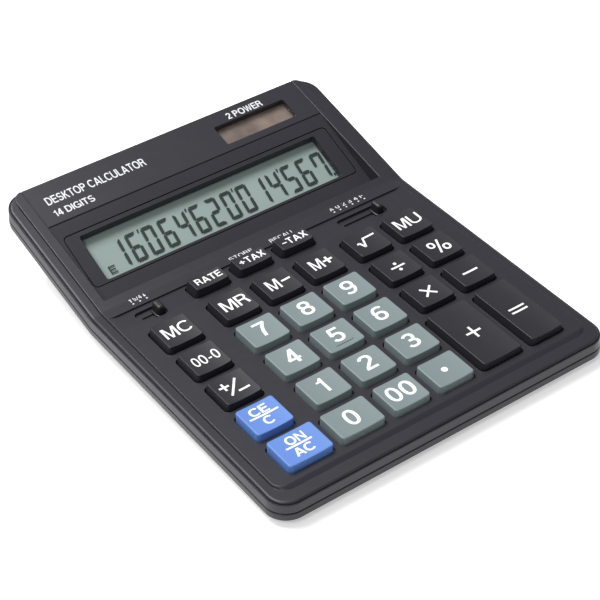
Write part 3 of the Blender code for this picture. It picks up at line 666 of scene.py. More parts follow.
def plated(name, colour, roughness):
    material, tree, shader = new_material(name, {"Metallic": 1.0})
    place = node(tree, "ShaderNodeTexCoord").outputs["Object"]
    fine = noise(tree, place, 1800.0, 4.0, 0.7)
    dark = [part * 0.8 for part in colour]
    tree.links.new(ramp(tree, fine, 0.0, dark, 1.0, colour), shader["Base Color"])
    tree.links.new(maths(tree, "MULTIPLY_ADD", fine, 0.25, roughness - 0.12), shader["Roughness"])
    tree.links.new(bumps(tree, fine, 0.15, 0.00002), shader["Normal"])
    return material


plated_steel = plated("plated_steel", (0.62, 0.62, 0.6), 0.32)


def screw(name, x, y, head, head_radius, neck_z, tip_z, core):
    """Head up to z = neck, from its face at z = head, and a shank up to the tip. The face looks down."""
    edge = 0.35
    piece = blank(name, rod(x, y, head, head + edge, head_radius - 0.5, 32, head_radius))
    built_on(piece, rod(x, y, head + edge - 0.01, neck_z, head_radius))
    built_on(piece, rod(x, y, neck_z - 0.2, tip_z - 0.4, core, 20))
    built_on(piece, rod(x, y, tip_z - 0.41, tip_z, core, 20, core * 0.5))
    reach = head_radius * 0.62
    for half_x, half_y, low_x, low_y in ((reach, 0.3, 0.35, 0.2), (0.3, reach, 0.2, 0.35)):
        arm_of_cross = [
            (head - 0.3, x - half_x, x + half_x, y - half_y, y + half_y, 0.05),
            (head + 0.5, x - low_x, x + low_x, y - low_y, y + low_y, 0.05),
        ]
        cut(piece, through(arm_of_cross, 2))
    return piece


for number, (x, y) in enumerate(SCREW_PLACES, 1):
    rise = fold_rise(y)
    made = screw(f"case_screw_{number}_body", x, y, -12.75 + rise, 2.1, -11.5 + rise, -5.8 + rise, 0.95)
    finished(made, DECK, plated_steel, "case", 40.0, [f"case_screw_{number}"])
made = screw("battery_door_screw_body", SCREW_X, SCREW_Y, 1.4, 1.75, 2.0, 7.1, 0.8)
finished(made, WORLD, plated_steel, "case", 40.0, ["battery_door_screw"])

# ---- Feet ------------------------------------------------------------------------------------------
# Soft black rubber discs, stuck on and slightly domed at the edge.
foot_rubber = moulded("foot_rubber", (0.022, 0.022, 0.023), 0.82, 0.00025, 0.5, 0.15, 0.06, 0.3)
for name in sorted(frame["nodes"]):
    if not name.startswith("foot_"):
        continue
    low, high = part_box(name)
    x = (low[0] + high[0]) / 2.0 / MM
    y = (low[1] + high[1]) / 2.0 / MM
    bm = rod(x, y, 0.0, 1.0, (high[0] - low[0]) / 2.0 / MM, 64)
    low_edges = [edge for edge in bm.edges if all(vert.co.z < 0.01 for vert in edge.verts)]
    bmesh.ops.bevel(
        bm, geom=low_edges, offset=0.35, offset_type="OFFSET", segments=4, profile=0.5, affect="EDGES",
        material=-1,
    )
    finished(blank(name + "_disc", bm), WORLD, foot_rubber, "case", 50.0, [name])

# ---- Keys ------------------------------------------------------------------------------------------
# Hard moulded caps with a cylindrical dish in the top and a flange that keeps them under the deck.
# The number keys are grey green, the two clearing keys are blue and all the others are black.
KEY_GAP = 0.4
key_finishes = {
    "number_key": {
        "shrink": (1.3, 1.5), "edge": 0.5, "corner": 1.25, "dish": 0.36,
        "material": moulded("number_key_plastic", (0.195, 0.243, 0.252), 0.42, 0.00028, 0.22, 0.06, 0.12),
    },
    "clear_key": {
        "shrink": (1.3, 1.1), "edge": 0.5, "corner": 1.25, "dish": 0.36,
        "material": moulded("clear_key_plastic", (0.115, 0.240, 0.62), 0.42, 0.00028, 0.22, 0.06, 0.12),
    },
    "function_key": {
        "shrink": (2.3, 1.4), "edge": 0.32, "corner": 1.0, "dish": 0.40,
        "material": moulded("function_key_plastic", (0.017, 0.016, 0.0215), 0.42, 0.00028, 0.25, 0.08, 0.12),
    },
}
SLOT_OF = {entry["node"]: entry["material_slot"] for entry in frame["record"]["subparts"]}


def cap_shape(name):
    """Everything that a key's cap and its legend need to know of its top."""
    x, y, hole_x, hole_y = key_hole(name)
    kind = SLOT_OF[name]
    finish = key_finishes[kind]
    width, depth, top = hole_x - finish["shrink"][0], hole_y - finish["shrink"][1], 0.0
    if kind == "clear_key":
        top = 0.25
    if hole_y < SMALL_KEY_DEPTH:
        width, depth, top = 14.9, 7.9, 0.8
    return {
        "x": x, "y": y, "hole": (hole_x, hole_y), "width": width, "depth": depth, "top": top, "kind": kind,
        "edge": finish["edge"], "corner": finish["corner"], "dish": finish["dish"] * min(1.0, width / 15.0),
    }


def strips(shape):
    """Lines across the top where its dish is creased into flat strips."""
    half = shape["width"] / 2.0 - shape["edge"]
    count = 16
    return [shape["x"] - half + 2.0 * half * i / count for i in range(count + 1)]


def dish_depth(shape, x):
    half = shape["width"] / 2.0 - shape["edge"]
    lines = strips(shape)
    step = lines[1] - lines[0]
    place = (x - lines[0]) / step
    index = min(max(int(math.floor(place)), 0), len(lines) - 2)

    def exact(at):
        return shape["dish"] * max(0.0, 1.0 - ((at - shape["x"]) / half) ** 2)

    share = min(max(place - index, 0.0), 1.0)
    return exact(lines[index]) * (1.0 - share) + exact(lines[index + 1]) * share


def sliced(bm, lines):
    for x in lines:
        bmesh.ops.bisect_plane(
            bm, geom=everything(bm), dist=1e-4, plane_co=(x, 0.0, 0.0), plane_no=(1.0, 0.0, 0.0),
        )
    return bm


def key_cap(name):
    shape = cap_shape(name)
    x, y, top, edge = shape["x"], shape["y"], shape["top"], shape["edge"]

    def ring(z, width, depth, radius):
        return (z, x - width / 2.0, x + width / 2.0, y - depth / 2.0, y + depth / 2.0, radius)

    hole_x, hole_y = shape["hole"]
    width, depth, corner = shape["width"], shape["depth"], shape["corner"]
    skirt = (hole_x - 2.0 * KEY_GAP, hole_y - 2.0 * KEY_GAP, 1.9)
    flange = (hole_x + 2.0 * FLANGE, hole_y + 2.0 * FLANGE, 2.0)
    levels = [ring(-5.8, *flange), ring(-5.0, *flange), ring(-5.0, *skirt), ring(-3.3, *skirt)]
    turn = 4
    for i in range(turn + 1):
        angle = math.pi / 2.0 * i / turn
        inward = 2.0 * edge * (1.0 - math.cos(angle))
        radius = max(corner - inward / 2.0, 0.3)
        levels.append(ring(top - edge + edge * math.sin(angle), width - inward, depth - inward, radius))
    bm = through(levels, 5)
    sliced(bm, strips(shape))
    fade = edge + 0.05
    for vert in bm.verts:
        share = min(max((vert.co.z - (top - fade)) / fade, 0.0), 1.0)
        vert.co.z -= dish_depth(shape, vert.co.x) * share
    piece = blank(name + "_cap", bm)
    built_on(piece, rod(x, y, -6.3, -5.5, 2.4, 16))
    material = key_finishes[shape["kind"]]["material"]
    return finished(piece, DECK, material, name, 34.0, [name])


for name in KEY_NODES:
    key_cap(name)

# The 5 key has a raised bar near its front edge, to be found by touch.
shape = cap_shape("key_5")
bar_levels = []
for z, out in ((-0.1, 0.12), (0.12, 0.1), (0.26, 0.0), (0.3, -0.12)):
    ends = (shape["x"] - 3.9 - out, shape["x"] + 3.9 + out)
    bar_levels.append((z, *ends, shape["y"] - 4.95 - out, shape["y"] - 4.45 + out, 0.2 + out))
bar = sliced(through(bar_levels, 4), strips(shape))
for vert in bar.verts:
    vert.co.z -= dish_depth(shape, vert.co.x)
touch_plastic = key_finishes["number_key"]["material"]
finished(blank("key_5_touch_bar", bar), DECK, touch_plastic, "key_5", 50.0, ())

# ---- Legends on the keys ---------------------------------------------------------------------------
# Moulded through in white, so they lie almost flush with the dished tops.
legend_white = moulded("legend_white", (0.93, 0.94, 0.95), 0.4, 0.0003, 0.1, 0.04, 0.08)
INK = 0.025


def bend(x, y, half_width, half_height, start, end, steps=16):
    """Points along an oval, between two angles in degrees. It is a little squarer than an ellipse."""
    points = []
    for step in range(steps + 1):
        angle = math.radians(start + (end - start) * step / steps)
        across, up = (math.copysign(abs(part) ** 0.88, part) for part in (math.cos(angle), math.sin(angle)))
        points.append((x + half_width * across, y + half_height * up))
    return points


def oval(x, y, half_width, half_height):
    size = (x, y, half_width, half_height)
    return [bend(*size, 0.0, 180.0), bend(*size, 175.0, 365.0)]


# Each letter is a width, and either the middle lines of its strokes or, after "shape", its outline.
# Heights run from 0 at the foot to 1 at the top.
LOW = 0.0675
HIGH = 1.0 - LOW
STEM = [(LOW, 0.0), (LOW, 1.0)]
SIX = [*oval(0.285, 0.31, 0.2175, 0.2425), bend(0.335, 0.50, 0.2675, 0.4325, 180.0, 48.0)]
BOWL_BEND = bend(0.34, 0.71, 0.22, 0.2225, 80.0, -80.0, 10)
BOWL = [(LOW, HIGH), (0.34, HIGH), *BOWL_BEND, (0.34, 0.4875), (LOW, 0.4875)]
LETTERS = {
    "0": (0.56, oval(0.28, 0.5, 0.2125, 0.4325)),
    "2": (0.56, [
        [*bend(0.275, 0.71, 0.2075, 0.2225, 172.0, -38.0), (0.14, 0.19), (0.085, 0.03)], [(0.03, LOW),
        (0.54, LOW)],
    ]),
    "3": (0.56, [
        bend(0.265, 0.72, 0.19, 0.2125, 160.0, -90.0), bend(0.27, 0.29, 0.2225, 0.2225, 90.0, -160.0),
        [(0.18, 0.51), (0.28, 0.51)],
    ]),
    "4": (0.56, [[(0.39, 0.0), (0.39, 1.0)], [(0.37, 0.97), (0.04, 0.27)], [(0.0, 0.275), (0.55, 0.275)]]),
    "5": (0.56, [
        [(0.51, HIGH), (0.09, HIGH)], [(0.14, 0.95), (0.085, 0.47)],
        bend(0.27, 0.32, 0.225, 0.2525, 148.0, -155.0),
    ]),
    "6": (0.56, SIX),
    "7": (0.56, [[(0.0, HIGH), (0.54, HIGH)], [(0.5, HIGH), (0.36, 0.68), (0.26, 0.38), (0.21, 0.0)]]),
    "8": (0.56, [*oval(0.28, 0.735, 0.195, 0.1975), *oval(0.28, 0.3, 0.2175, 0.2325)]),
    "9": (0.56, [[(0.56 - x, 1.0 - y) for x, y in line] for line in SIX]),
    "A": (0.74, [[(0.06, 0.0), (0.35, 0.98)], [(0.68, 0.0), (0.39, 0.98)], [(0.16, 0.29), (0.58, 0.29)]]),
    "C": (0.74, [bend(0.4, 0.5, 0.3325, 0.4325, 40.0, 320.0, 24)]),
    "D": (0.71, [
        STEM, [(LOW, HIGH), (0.3, HIGH), *bend(0.3, 0.5, 0.34, 0.4325, 80.0, -80.0), (0.3, LOW), (LOW, LOW)],
    ]),
    "E": (0.6, [STEM, [(LOW, HIGH), (0.59, HIGH)], [(LOW, 0.52), (0.55, 0.52)], [(LOW, LOW), (0.6, LOW)]]),
    "F": (0.56, [STEM, [(LOW, HIGH), (0.56, HIGH)], [(LOW, 0.5), (0.5, 0.5)]]),
    "G": (0.78, [
        bend(0.4, 0.5, 0.3325, 0.4325, 42.0, 318.0, 24), [(0.42, 0.46), (0.71, 0.46)], [(0.7, 0.46),
        (0.7, 0.05)],
    ]),
    "I": (0.135, [STEM]),
    "K": (0.66, [STEM, [(0.57, 0.98), (0.10, 0.4)], [(0.24, 0.6), (0.6, 0.0)]]),
    "L": (0.54, [STEM, [(LOW, LOW), (0.54, LOW)]]),
    "M": (0.83, [
        "shape", (0.0, 0.0), (0.0, 1.0), (0.185, 1.0), (0.415, 0.2), (0.645, 1.0), (0.83, 1.0), (0.83, 0.0),
        (0.7, 0.0), (0.7, 0.82), (0.475, 0.0), (0.355, 0.0), (0.13, 0.82), (0.13, 0.0),
    ]),
    "N": (0.71, [
        "shape", (0.0, 0.0), (0.0, 1.0), (0.15, 1.0), (0.58, 0.24), (0.58, 1.0), (0.71, 1.0), (0.71, 0.0),
        (0.56, 0.0), (0.13, 0.76), (0.13, 0.0),
    ]),
    "O": (0.80, oval(0.4, 0.5, 0.3325, 0.4325)),
    "P": (0.64, [STEM, BOWL]),
    "R": (0.68, [STEM, BOWL, [(0.34, 0.4875), (0.5, 0.43), (0.56, 0.2), (0.6, 0.0)]]),
    "S": (0.66, [
        [*bend(0.33, 0.7125, 0.245, 0.22, 25.0, 262.0, 14), *bend(0.335, 0.285, 0.265, 0.2175, 80.0, -160.0, 14)],
    ]),
    "T": (0.62, [[(0.0, HIGH), (0.62, HIGH)], [(0.31, 0.0), (0.31, HIGH)]]),
    "U": (0.72, [
        [(LOW, 1.0), (LOW, 0.4), *bend(0.36, 0.36, 0.2925, 0.2925, 184.0, 356.0), (0.6525, 0.4),
        (0.6525, 1.0)],
    ]),
    "W": (0.94, [
        "shape", (0.0, 1.0), (0.14, 1.0), (0.27, 0.25), (0.4, 1.0), (0.54, 1.0), (0.67, 0.25), (0.80, 1.0),
        (0.94, 1.0), (0.75, 0.0), (0.6, 0.0), (0.47, 0.74), (0.34, 0.0), (0.19, 0.0),
    ]),
    "X": (0.66, [[(0.07, 0.0), (0.59, 1.0)], [(0.59, 0.0), (0.07, 1.0)]]),
    "1": (0.4, [
        "shape", (0.24, 0.0), (0.24, 0.70), (0.04, 0.70), (0.04, 0.79), (0.18, 0.84), (0.27, 1.0),
        (0.375, 1.0),
        (0.375, 0.0),
    ]),
    "%": (0.98, [*oval(0.20, 0.74, 0.145, 0.19), *oval(0.78, 0.26, 0.145, 0.19), [(0.31, 0.0), (0.67, 1.0)]]),
    "/": (0.4, [[(0.06, -0.03), (0.34, 1.03)]]),
    "-": (0.36, [[(0.03, 0.36), (0.33, 0.36)]]),
    "−": (0.52, [[(0.0, 0.42), (0.5, 0.42)]]),
    "+": (0.66, [[(0.0, 0.42), (0.6, 0.42)], [(0.3, 0.12), (0.3, 0.72)]]),
    " ": (0.20, []),
}
LETTER_GAP = 0.10
STROKE_STEP = 0.008


def ribbon(points, thick):
    """The outline of a stroke of even thickness along its middle line."""
    left, right = [], []
    for i, (x, y) in enumerate(points):
        before = Vector(points[max(i - 1, 0)])
        after = Vector(points[min(i + 1, len(points) - 1)])
        along = (after - before).normalized() * (thick / 2.0)
        left.append((x - along.y, y + along.x))
        right.append((x + along.y, y - along.x))
    return left + right[::-1]


def lettering(text, width, height, x, y, stroke=0.122):
    """Plain capitals or figures, as thin plates that fill a box of this size about x and y."""
    outlines = []
    start = 0.0
    for letter in text:
        advance, lines = LETTERS[letter]
        if lines and lines[0] == "shape":
            outlines.append([(start + px, py) for px, py in lines[1:]])
        else:
            outlines += [ribbon([(start + px, py) for px, py in line], stroke) for line in lines]
        start += advance + LETTER_GAP
    across = [px for outline in outlines for px, py in outline]
    middle = (min(across) + max(across)) / 2.0
    scale = width / (max(across) - min(across))
    plates = []
    for i, outline in enumerate(outlines):
        stroke_plate = plate([((px - middle) * scale, (py - 0.5) * height) for px, py in outline], x, y)
        bmesh.ops.translate(stroke_plate, vec=(0.0, 0.0, (i % 3) * STROKE_STEP), verts=stroke_plate.verts)
        plates.append(stroke_plate)
    return joined(*plates)


def plate(points, x=0.0, y=0.0):
    """A thin closed plate from an outline of (x, y) points."""
    return drawn_out([(x + px, y + py, -INK) for px, py in points], (0.0, 0.0, 2.0 * INK))


def bar_plate(x0, y0, x1, y1, thick):
    """A straight stroke between two points."""
    along = Vector((x1 - x0, y1 - y0)).normalized() * (thick / 2.0)
    nx, ny = -along.y, along.x
    return plate([(x0 + nx, y0 + ny), (x0 - nx, y0 - ny), (x1 - nx, y1 - ny), (x1 + nx, y1 + ny)])


def cross_plate(x, y, size, thick):
    """An upright cross, in one outline."""
    a, b = size / 2.0, thick / 2.0
    points = [
        (b, a), (-b, a), (-b, b), (-a, b), (-a, -b), (-b, -b), (-b, -a), (b, -a), (b, -b), (a, -b),
        (a, b), (b, b),
    ]
    return plate(points, x, y)


def turned(bm, x, y, angle):
    turn = Matrix.Rotation(math.radians(angle), 3, "Z")
    bmesh.ops.rotate(bm, cent=(x, y, 0.0), matrix=turn, verts=bm.verts)
    return bm


def dot_plate(x, y, radius):
    return rod(x, y, -INK, INK, radius, 28)


def legend(name, *marks):
    """Lays marks, drawn about the middle of the key, onto its dished top."""
    shape = cap_shape(name)
    bm = joined(*marks)
    bmesh.ops.translate(bm, vec=(shape["x"], shape["y"], shape["top"] + 0.012), verts=bm.verts)
    sliced(bm, strips(shape))
    for vert in bm.verts:
        vert.co.z -= dish_depth(shape, vert.co.x)
    return finished(blank(name + "_legend", bm), DECK, legend_white, name, 30.0, ())


for figure, aside in zip("78945623", (0.3, 0.0, 0.0, 0.15, 0.0, 0.0, -0.1, 0.0)):
    legend("key_" + figure, lettering(figure, 5.5, 8.0, aside, 0.7, 0.142))

# A key's text, its width and height, its middle and its stroke.
for name, *letters in (
    ("key_1", "1", 2.9, 7.9, -0.2, 0.55), ("key_0", "0", 5.4, 8.0, -0.3, 0.3, 0.142),
    ("key_double_zero", "00", 11.5, 7.8, 0.0, 0.4, 0.145), ("key_memory_clear", "MC", 11.5, 6.3, 0.3, 0.5),
    ("key_memory_recall", "MR", 11.5, 6.2, 0.5, 0.4), ("key_mark_up", "MU", 12.0, 6.2, 0.6, 0.5),
    ("key_backspace", "00-0", 11.3, 5.4, 0.2, -0.2), ("key_percent", "%", 8.6, 7.9, 0.6, -0.2, 0.105),
    ("key_tax_rate", "RATE", 11.6, 3.7, 0.3, 0.2, 0.15), ("key_tax_plus", "+TAX", 11.7, 3.7, 0.4, 0.3, 0.15),
    ("key_tax_minus", "−TAX", 11.6, 3.7, 0.5, 0.3, 0.15),
):
    legend(name, lettering(*letters))

legend("key_decimal_point", dot_plate(-0.4, 0.0, 1.3))
legend("key_memory_minus", lettering("M", 5.3, 6.2, -1.9, 0.2), bar_plate(1.9, 0.2, 5.9, 0.2, 0.95))
legend("key_memory_plus", lettering("M", 5.2, 6.2, -1.6, 0.2), cross_plate(3.6, 0.1, 4.2, 0.95))
legend(
    "key_square_root", bar_plate(-4.4, 0.1, -3.3, 0.75, 0.8), bar_plate(-3.3, 0.75, -2.1, -2.6, 1.0),
    bar_plate(-2.1, -2.6, -0.2, 2.6, 0.8), bar_plate(-0.5, 2.55, 5.3, 2.55, 0.9),
)
legend(
    "key_divide", bar_plate(-3.1, -0.6, 3.4, -0.6, 0.9), dot_plate(0.1, 1.5, 0.75), dot_plate(0.1, -2.6, 0.75),
)
legend(
    "key_sign_change", cross_plate(-3.4, 1.6, 4.2, 0.9), bar_plate(-3.2, -3.8, 2.6, 3.8, 0.9),
    bar_plate(0.2, -2.9, 4.9, -2.9, 0.9),
)
legend("key_multiply", turned(cross_plate(0.1, -0.2, 7.2, 0.9), 0.1, -0.2, 45.0))
legend("key_minus", bar_plate(-3.4, -0.5, 3.8, -0.5, 0.95))
legend("key_plus", cross_plate(-0.2, 0.0, 6.7, 0.95))
legend("key_equals", bar_plate(-3.7, 1.1, 3.8, 1.1, 0.9), bar_plate(-3.7, -1.1, 3.8, -1.1, 0.9))
legend(
    "key_clear_entry", lettering("CE", 7.8, 4.1, -0.4, 3.4, 0.18), bar_plate(-6.0, 0.5, 6.2, 0.5, 0.85),
    lettering("C", 3.9, 4.1, -0.1, -2.6, 0.18),
)
legend(
    "key_on_all_clear", lettering("ON", 7.9, 4.2, 0.2, 3.4, 0.18), bar_plate(-5.6, 0.4, 5.4, 0.4, 0.85),
    lettering("AC", 8.0, 4.1, -0.2, -2.8, 0.18),
)

# ---- Print on the case -----------------------------------------------------------------------------
# Pad-printed in white: the switch positions and two small words on the flat strip, and plain words on
# the label strip.
print_white = moulded("print_white", (0.74, 0.75, 0.77), 0.5, 0.0003, 0.1, 0.05, 0.08)


def printed(name, matrix, lift, *marks):
    bm = joined(*marks)
    bmesh.ops.translate(bm, vec=(0.0, 0.0, lift), verts=bm.verts)
    return finished(blank(name, bm), matrix, print_white, "case", 30.0, ())


def arrow_plate(x, y, height, up):
    side = 1.0 if up else -1.0
    tip = height / 2.0
    barb = tip * 0.25
    points = [
        (0.18, -tip), (0.18, barb), (0.62, barb), (0.0, tip), (-0.62, barb), (-0.18, barb), (-0.18, -tip),
    ]
    return plate([(px, py * side) for px, py in points], x, y)


ON_DECK = (DECK, DECK_Z + 0.012)
ON_LABEL = (LABEL, 0.012)
DECIMAL_STEP = 3.08
decimal_marks = []
for i, mark in enumerate("A0234F"):
    decimal_marks.append(lettering(mark, 1.75, 2.2, 38.1 + DECIMAL_STEP * i, 54.95))
    decimal_marks.append(dot_plate(38.1 + DECIMAL_STEP * i, 52.7, 0.38))
printed("decimal_switch_marks", *ON_DECK, *decimal_marks)
rounding_marks = [dot_plate(x, 52.6, 0.38) for x in (-58.5, -55.45, -52.4)]
rounding_marks += [arrow_plate(-58.5, 54.9, 2.4, True), arrow_plate(-52.4, 54.9, 2.4, False)]
printed("rounding_switch_marks", *ON_DECK, lettering("5/4", 3.6, 2.3, -55.5, 54.9), *rounding_marks)
store = lettering("STORE", 11.0, 2.2, -8.2, 52.8, 0.12)
printed("memory_words", *ON_DECK, store, lettering("RECALL", 11.8, 2.2, 11.8, 52.8, 0.12))
printed("power_words", *ON_LABEL, lettering("2 POWER", 17.8, 3.4, 39.0, 17.5, 0.17))
printed("name_words", *ON_LABEL, lettering("DESKTOP CALCULATOR", 46.5, 4.2, -37.6, 12.4, 0.15))
printed("digit_words", *ON_LABEL, lettering("14 DIGITS", 18.4, 3.4, -51.9, 5.3, 0.16))

# ---- Display ---------------------------------------------------------------------------------------
# A separate bezel of the case's plastic sits in the sunk panel with a fine gap all round. Deep in its
# window lies the reflective liquid crystal cell, whose dark segments stand a little above the reflector.
bezel_levels = [
    (-3.6, *grown(BEZEL, 1.5), 3.0), (-1.9, *grown(BEZEL, 1.5), 3.0), (-1.9, *BEZEL, 2.0),
    (-0.45, *BEZEL, 2.0), (-0.22, *grown(BEZEL, -0.05), 1.95), (-0.12, *grown(BEZEL, -0.16), 1.84),
    (-0.1, *grown(BEZEL, -0.34), 1.66),
]
bezel = blank("display_bezel_frame", through(bezel_levels, 8))
window_levels = [
    (-4.5, *WINDOW, 0.8), (-0.5, *WINDOW, 0.8), (-0.28, *grown(WINDOW, 0.04), 0.84),
    (-0.14, *grown(WINDOW, 0.14), 0.94), (-0.08, *grown(WINDOW, 0.32), 1.12),
    (1.0, *grown(WINDOW, 0.32), 1.12),
]
cut(bezel, through(window_levels, 6))
finished(bezel, PANEL, trim_plastic, "case", 32.0, ["display_bezel"])

LCD = (-60.5, 60.5, -1.2, 25.2)
LCD_SURFACE = -3.9


def lcd_material():
    values = {"Roughness": 0.45, "Coat Weight": 0.4, "Coat Roughness": 0.08}
    material, tree, shader = new_material("lcd_reflector", values)
    place = node(tree, "ShaderNodeTexCoord").outputs["Object"]
    fine = noise(tree, place, 2600.0, 2.0)
    mottle = maths(tree, "MULTIPLY_ADD", fine, 0.25, noise(tree, place, 18.0, 1.0))
    colour = ramp(tree, mottle, 0.35, (0.235, 0.305, 0.285), 0.85, (0.270, 0.340, 0.320))
    tree.links.new(colour, shader["Base Color"])
    tree.links.new(bumps(tree, fine, 0.06, 0.00002), shader["Normal"])
    return material


lcd = blank("lcd_reflector", through([(-6.7, *LCD, 0.3), (LCD_SURFACE - 0.5, *LCD, 0.3)], 2))
finished(lcd, PANEL, lcd_material(), "case", 40.0, ["lcd_panel"])

lcd_dark = moulded("lcd_dark", (0.022, 0.034, 0.030), 0.35, 0.0004, 0.0, 0.05, 0.0)
DIGIT_PITCH = 7.65
DIGIT_HALF = (2.7, 6.75)
DIGIT_MIDDLE = (53.73, 10.05)
SEGMENT = 1.35
LEAN = math.tan(math.radians(4.5))
SEGMENTS_OF = {
    "0": "abcdef", "1": "bc", "2": "abged", "4": "fgbc", "5": "afgcd", "6": "afgedc", "7": "fabc",
}


def segment_outline(which):
    w, h = DIGIT_HALF
    s = SEGMENT
    if which in "bcef":
        right, upper = (1.0 if which in "bc" else -1.0), (1.0 if which in "bf" else -1.0)
        side = [
            (w, h - 0.75), (w - 0.35, h - 0.4), (w - s, h - s - 0.15), (w - s, 1.0), (w - s * 0.45, 0.3),
            (w, 0.75),
        ]
        return [(px * right, py * upper) for px, py in side]
    if which == "g":
        return [
            (-w + 0.75, 0.0), (-w + s + 0.2, s * 0.48), (w - s - 0.2, s * 0.48), (w - 0.75, 0.0),
            (w - s - 0.2, -s * 0.48), (-w + s + 0.2, -s * 0.48),
        ]
    upper = 1.0 if which == "a" else -1.0
    cap = [
        (-w + 0.75, h), (w - 0.75, h), (w - 0.45, h - 0.25), (w - s - 0.25, h - s), (-w + s + 0.25, h - s),
        (-w + 0.45, h - 0.25),
    ]
    return [(px, py * upper) for px, py in cap]


def leaning(points, middle_x, middle_y):
    return [(middle_x + px + py * LEAN, middle_y + py) for px, py in points]


marks = []
number = "16064620014567"
for place, figure in enumerate(number):
    middle_x = DIGIT_MIDDLE[0] - DIGIT_PITCH * (len(number) - 1 - place)
    for which in SEGMENTS_OF[figure]:
        marks.append(plate(leaning(segment_outline(which), middle_x, DIGIT_MIDDLE[1])))
    if place in (1, 4, 7, 10):
        tick = [(3.55, 6.9), (4.35, 6.9), (4.0, 5.5), (3.45, 5.5)]
        marks.append(plate(leaning(tick, middle_x, DIGIT_MIDDLE[1])))
point = [(3.3, -5.7), (4.2, -5.7), (4.2, -6.75), (3.3, -6.75)]
marks.append(plate(leaning(point, DIGIT_MIDDLE[0], DIGIT_MIDDLE[1])))
for x0, y0, x1, y1 in (
    (-1.3, -1.7, -1.3, 1.7), (-1.55, 1.5, 1.5, 1.5), (-1.0, 0.0, 1.2, 0.0), (-1.55, -1.5, 1.5, -1.5),
):
    marks.append(bar_plate(-51.95 + x0, 5.0 + y0, -51.95 + x1, 5.0 + y1, 0.5))
digits = joined(*marks)
bmesh.ops.translate(digits, vec=(0.0, 0.0, LCD_SURFACE), verts=digits.verts)
finished(blank("lcd_segments", digits), PANEL, lcd_dark, "case", 30.0, ())

# ---- Solar cell ------------------------------------------------------------------------------------
# A strip of amorphous cell, dark brown glass with a clouded sheen, under a clear window of thin plastic.


def solar_material():
    values = {"Roughness": 0.35, "Coat Weight": 0.6, "Coat Roughness": 0.06}
    material, tree, shader = new_material("solar_glass", values)
    place = node(tree, "ShaderNodeTexCoord").outputs["Object"]
    cloud = noise(tree, place, 95.0, 2.0)
    colour = ramp(tree, cloud, 0.35, (0.085, 0.055, 0.048), 0.7, (0.270, 0.195, 0.155))
    tree.links.new(colour, shader["Base Color"])
    return material


solar_strip = (*grown(SOLAR_OPENING, 0.8), 0.2)
cell = blank("solar_cell_strip", through([(-4.7, *solar_strip), (-3.5, *solar_strip)], 2))
finished(cell, LABEL, solar_material(), "case", 30.0, ["solar_cell"])


window_look = {"Base Color": (0.4, 0.34, 0.31, 1.0), "Roughness": 0.05, "Alpha": 0.12}
clear_window, _, _ = new_material("clear_window", window_look)
solar_pane = (*grown(SOLAR_OPENING, 1.2), 0.3)
window = blank("solar_window_pane", through([(-3.2, *solar_pane), (-2.5, *solar_pane)], 3))
finished(window, LABEL, clear_window, "case", 30.0, ["solar_window"])

# ---- Slide switches --------------------------------------------------------------------------------
# Black moulded knobs: an oval foot that runs in the slot, under a rounded block for the finger.
knob_plastic = moulded("knob_plastic", (0.014, 0.014, 0.016), 0.4, 0.00025, 0.2, 0.08, 0.12)
SLOT_MIDDLE = (SLOT_FRONT + SLOT_BACK) / 2.0
STRIP_REACH = {"rounding_switch": (8.0, 8.0), "decimal_switch": (16.3, 15.4)}
for body in SLOTS:
    low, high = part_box(body + "_knob")
    x = (low[0] + high[0]) / 2.0 / MM
    levels = []
    for z, half_x, half_y, radius in (
        (-8.5, 0.8, 0.7, 0.2), (-4.25, 0.8, 0.7, 0.2), (-4.25, 2.4, 3.3, 2.0), (-4.1, 2.4, 3.3, 2.0),
        (-3.9, 2.34, 3.24, 1.95), (-3.78, 2.2, 3.1, 1.85), (-3.7, 1.95, 2.98, 1.7), (-3.5, 1.84, 2.92, 1.65),
        (-0.9, 1.66, 2.8, 1.5), (-0.4, 1.58, 2.72, 1.4), (-0.05, 1.38, 2.5, 1.2), (0.2, 1.0, 2.1, 0.9),
        (0.3, 0.5, 1.6, 0.45),
    ):
        levels.append((z, x - half_x, x + half_x, SLOT_MIDDLE - half_y, SLOT_MIDDLE + half_y, radius))
    knob = blank(body + "_knob_cap", through(levels, 8))
    finished(knob, DECK, knob_plastic, body, 40.0, [body + "_knob"])

    # A strip slides along with the knob under the slot and closes it.
    left, right = STRIP_REACH[body]
    strip_ends = (x - left, x + right, SLOT_MIDDLE - 1.8, SLOT_MIDDLE + 1.8, 0.0)
    strip = blank(body + "_strip", through([(-5.35, *strip_ends), (-5.08, *strip_ends)], 1))
    finished(strip, DECK, knob_plastic, body, 40.0, ())

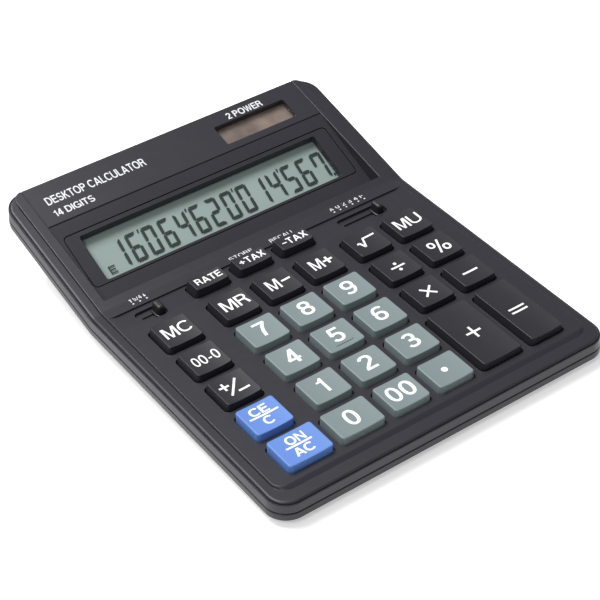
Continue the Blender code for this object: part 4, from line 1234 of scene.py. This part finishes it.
# ---- Inside the case -------------------------------------------------------------------------------
# The board, the rubber mat and the small metal pieces keep their shape and only get their finishes.
board_lacquer = moulded("board_lacquer", (0.02, 0.11, 0.045), 0.3, 0.001, 0.1, 0.3, 0.1)
mat_rubber = moulded("mat_rubber", (0.09, 0.09, 0.095), 0.8, 0.0003, 0.4, 0.1, 0.05, 0.3)
film_amber = moulded("film_amber", (0.42, 0.20, 0.04), 0.3, 0.001, 0.1, 0.15, 0.1)
INNER = {
    "main_board": board_lacquer, "keypad_rubber_mat": mat_rubber, "lcd_film_lead": film_amber,
    "lcd_holder": black_plastic, "chip_seal": black_plastic, "button_cell": plated_steel,
    "battery_contact_positive": plated_steel, "battery_contact_negative": plated_steel,
    "rounding_switch_contact": plated_steel, "decimal_switch_contact": plated_steel,
}
for name, material in INNER.items():
    piece = frame["nodes"][name]
    piece.data.materials.clear()
    piece.data.materials.append(material)

# ---- Floor and light -------------------------------------------------------------------------------
# A plain white table, lit from within a little, under a large soft light high behind. A small weak one
# in front picks out the rounded corners.
floor_bm = bmesh.new()
bmesh.ops.create_grid(floor_bm, x_segments=1, y_segments=1, size=3.0)
floor = blank("floor", floor_bm)
floor_look = {
    "Base Color": (0.92, 0.92, 0.92, 1.0), "Roughness": 0.8, "Emission Color": (1.0, 1.0, 1.0, 1.0),
    "Emission Strength": 0.4,
}
floor_white, _, _ = new_material("floor_white", floor_look)
floor.data.materials.append(floor_white)
floor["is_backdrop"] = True

world = bpy.data.worlds.new("studio")
world.use_nodes = True
background = world.node_tree.nodes["Background"].inputs
background["Color"].default_value = (1.0, 1.0, 1.0, 1.0)
background["Strength"].default_value = 0.28
bpy.context.scene.world = world
bpy.context.scene.view_settings.view_transform = "Standard"


def soft_light(name, location, target, size, power):
    data = bpy.data.lights.new(name, "AREA")
    data.shape = "RECTANGLE"
    data.size, data.size_y = size
    data.energy = power
    lamp = bpy.data.objects.new(name, data)
    lamp.location = location
    lamp.rotation_euler = (Vector(target) - Vector(location)).to_track_quat("-Z", "Y").to_euler()
    bpy.context.scene.collection.objects.link(lamp)


soft_light("top_light", (-0.25, 0.5, 1.3), (0.0, 0.0, 0.0), (0.9, 0.7), 22.0)
soft_light("front_light", (-0.75, -0.45, 1.0), (0.0, 0.0, 0.0), (0.3, 0.3), 4.0)

low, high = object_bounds()
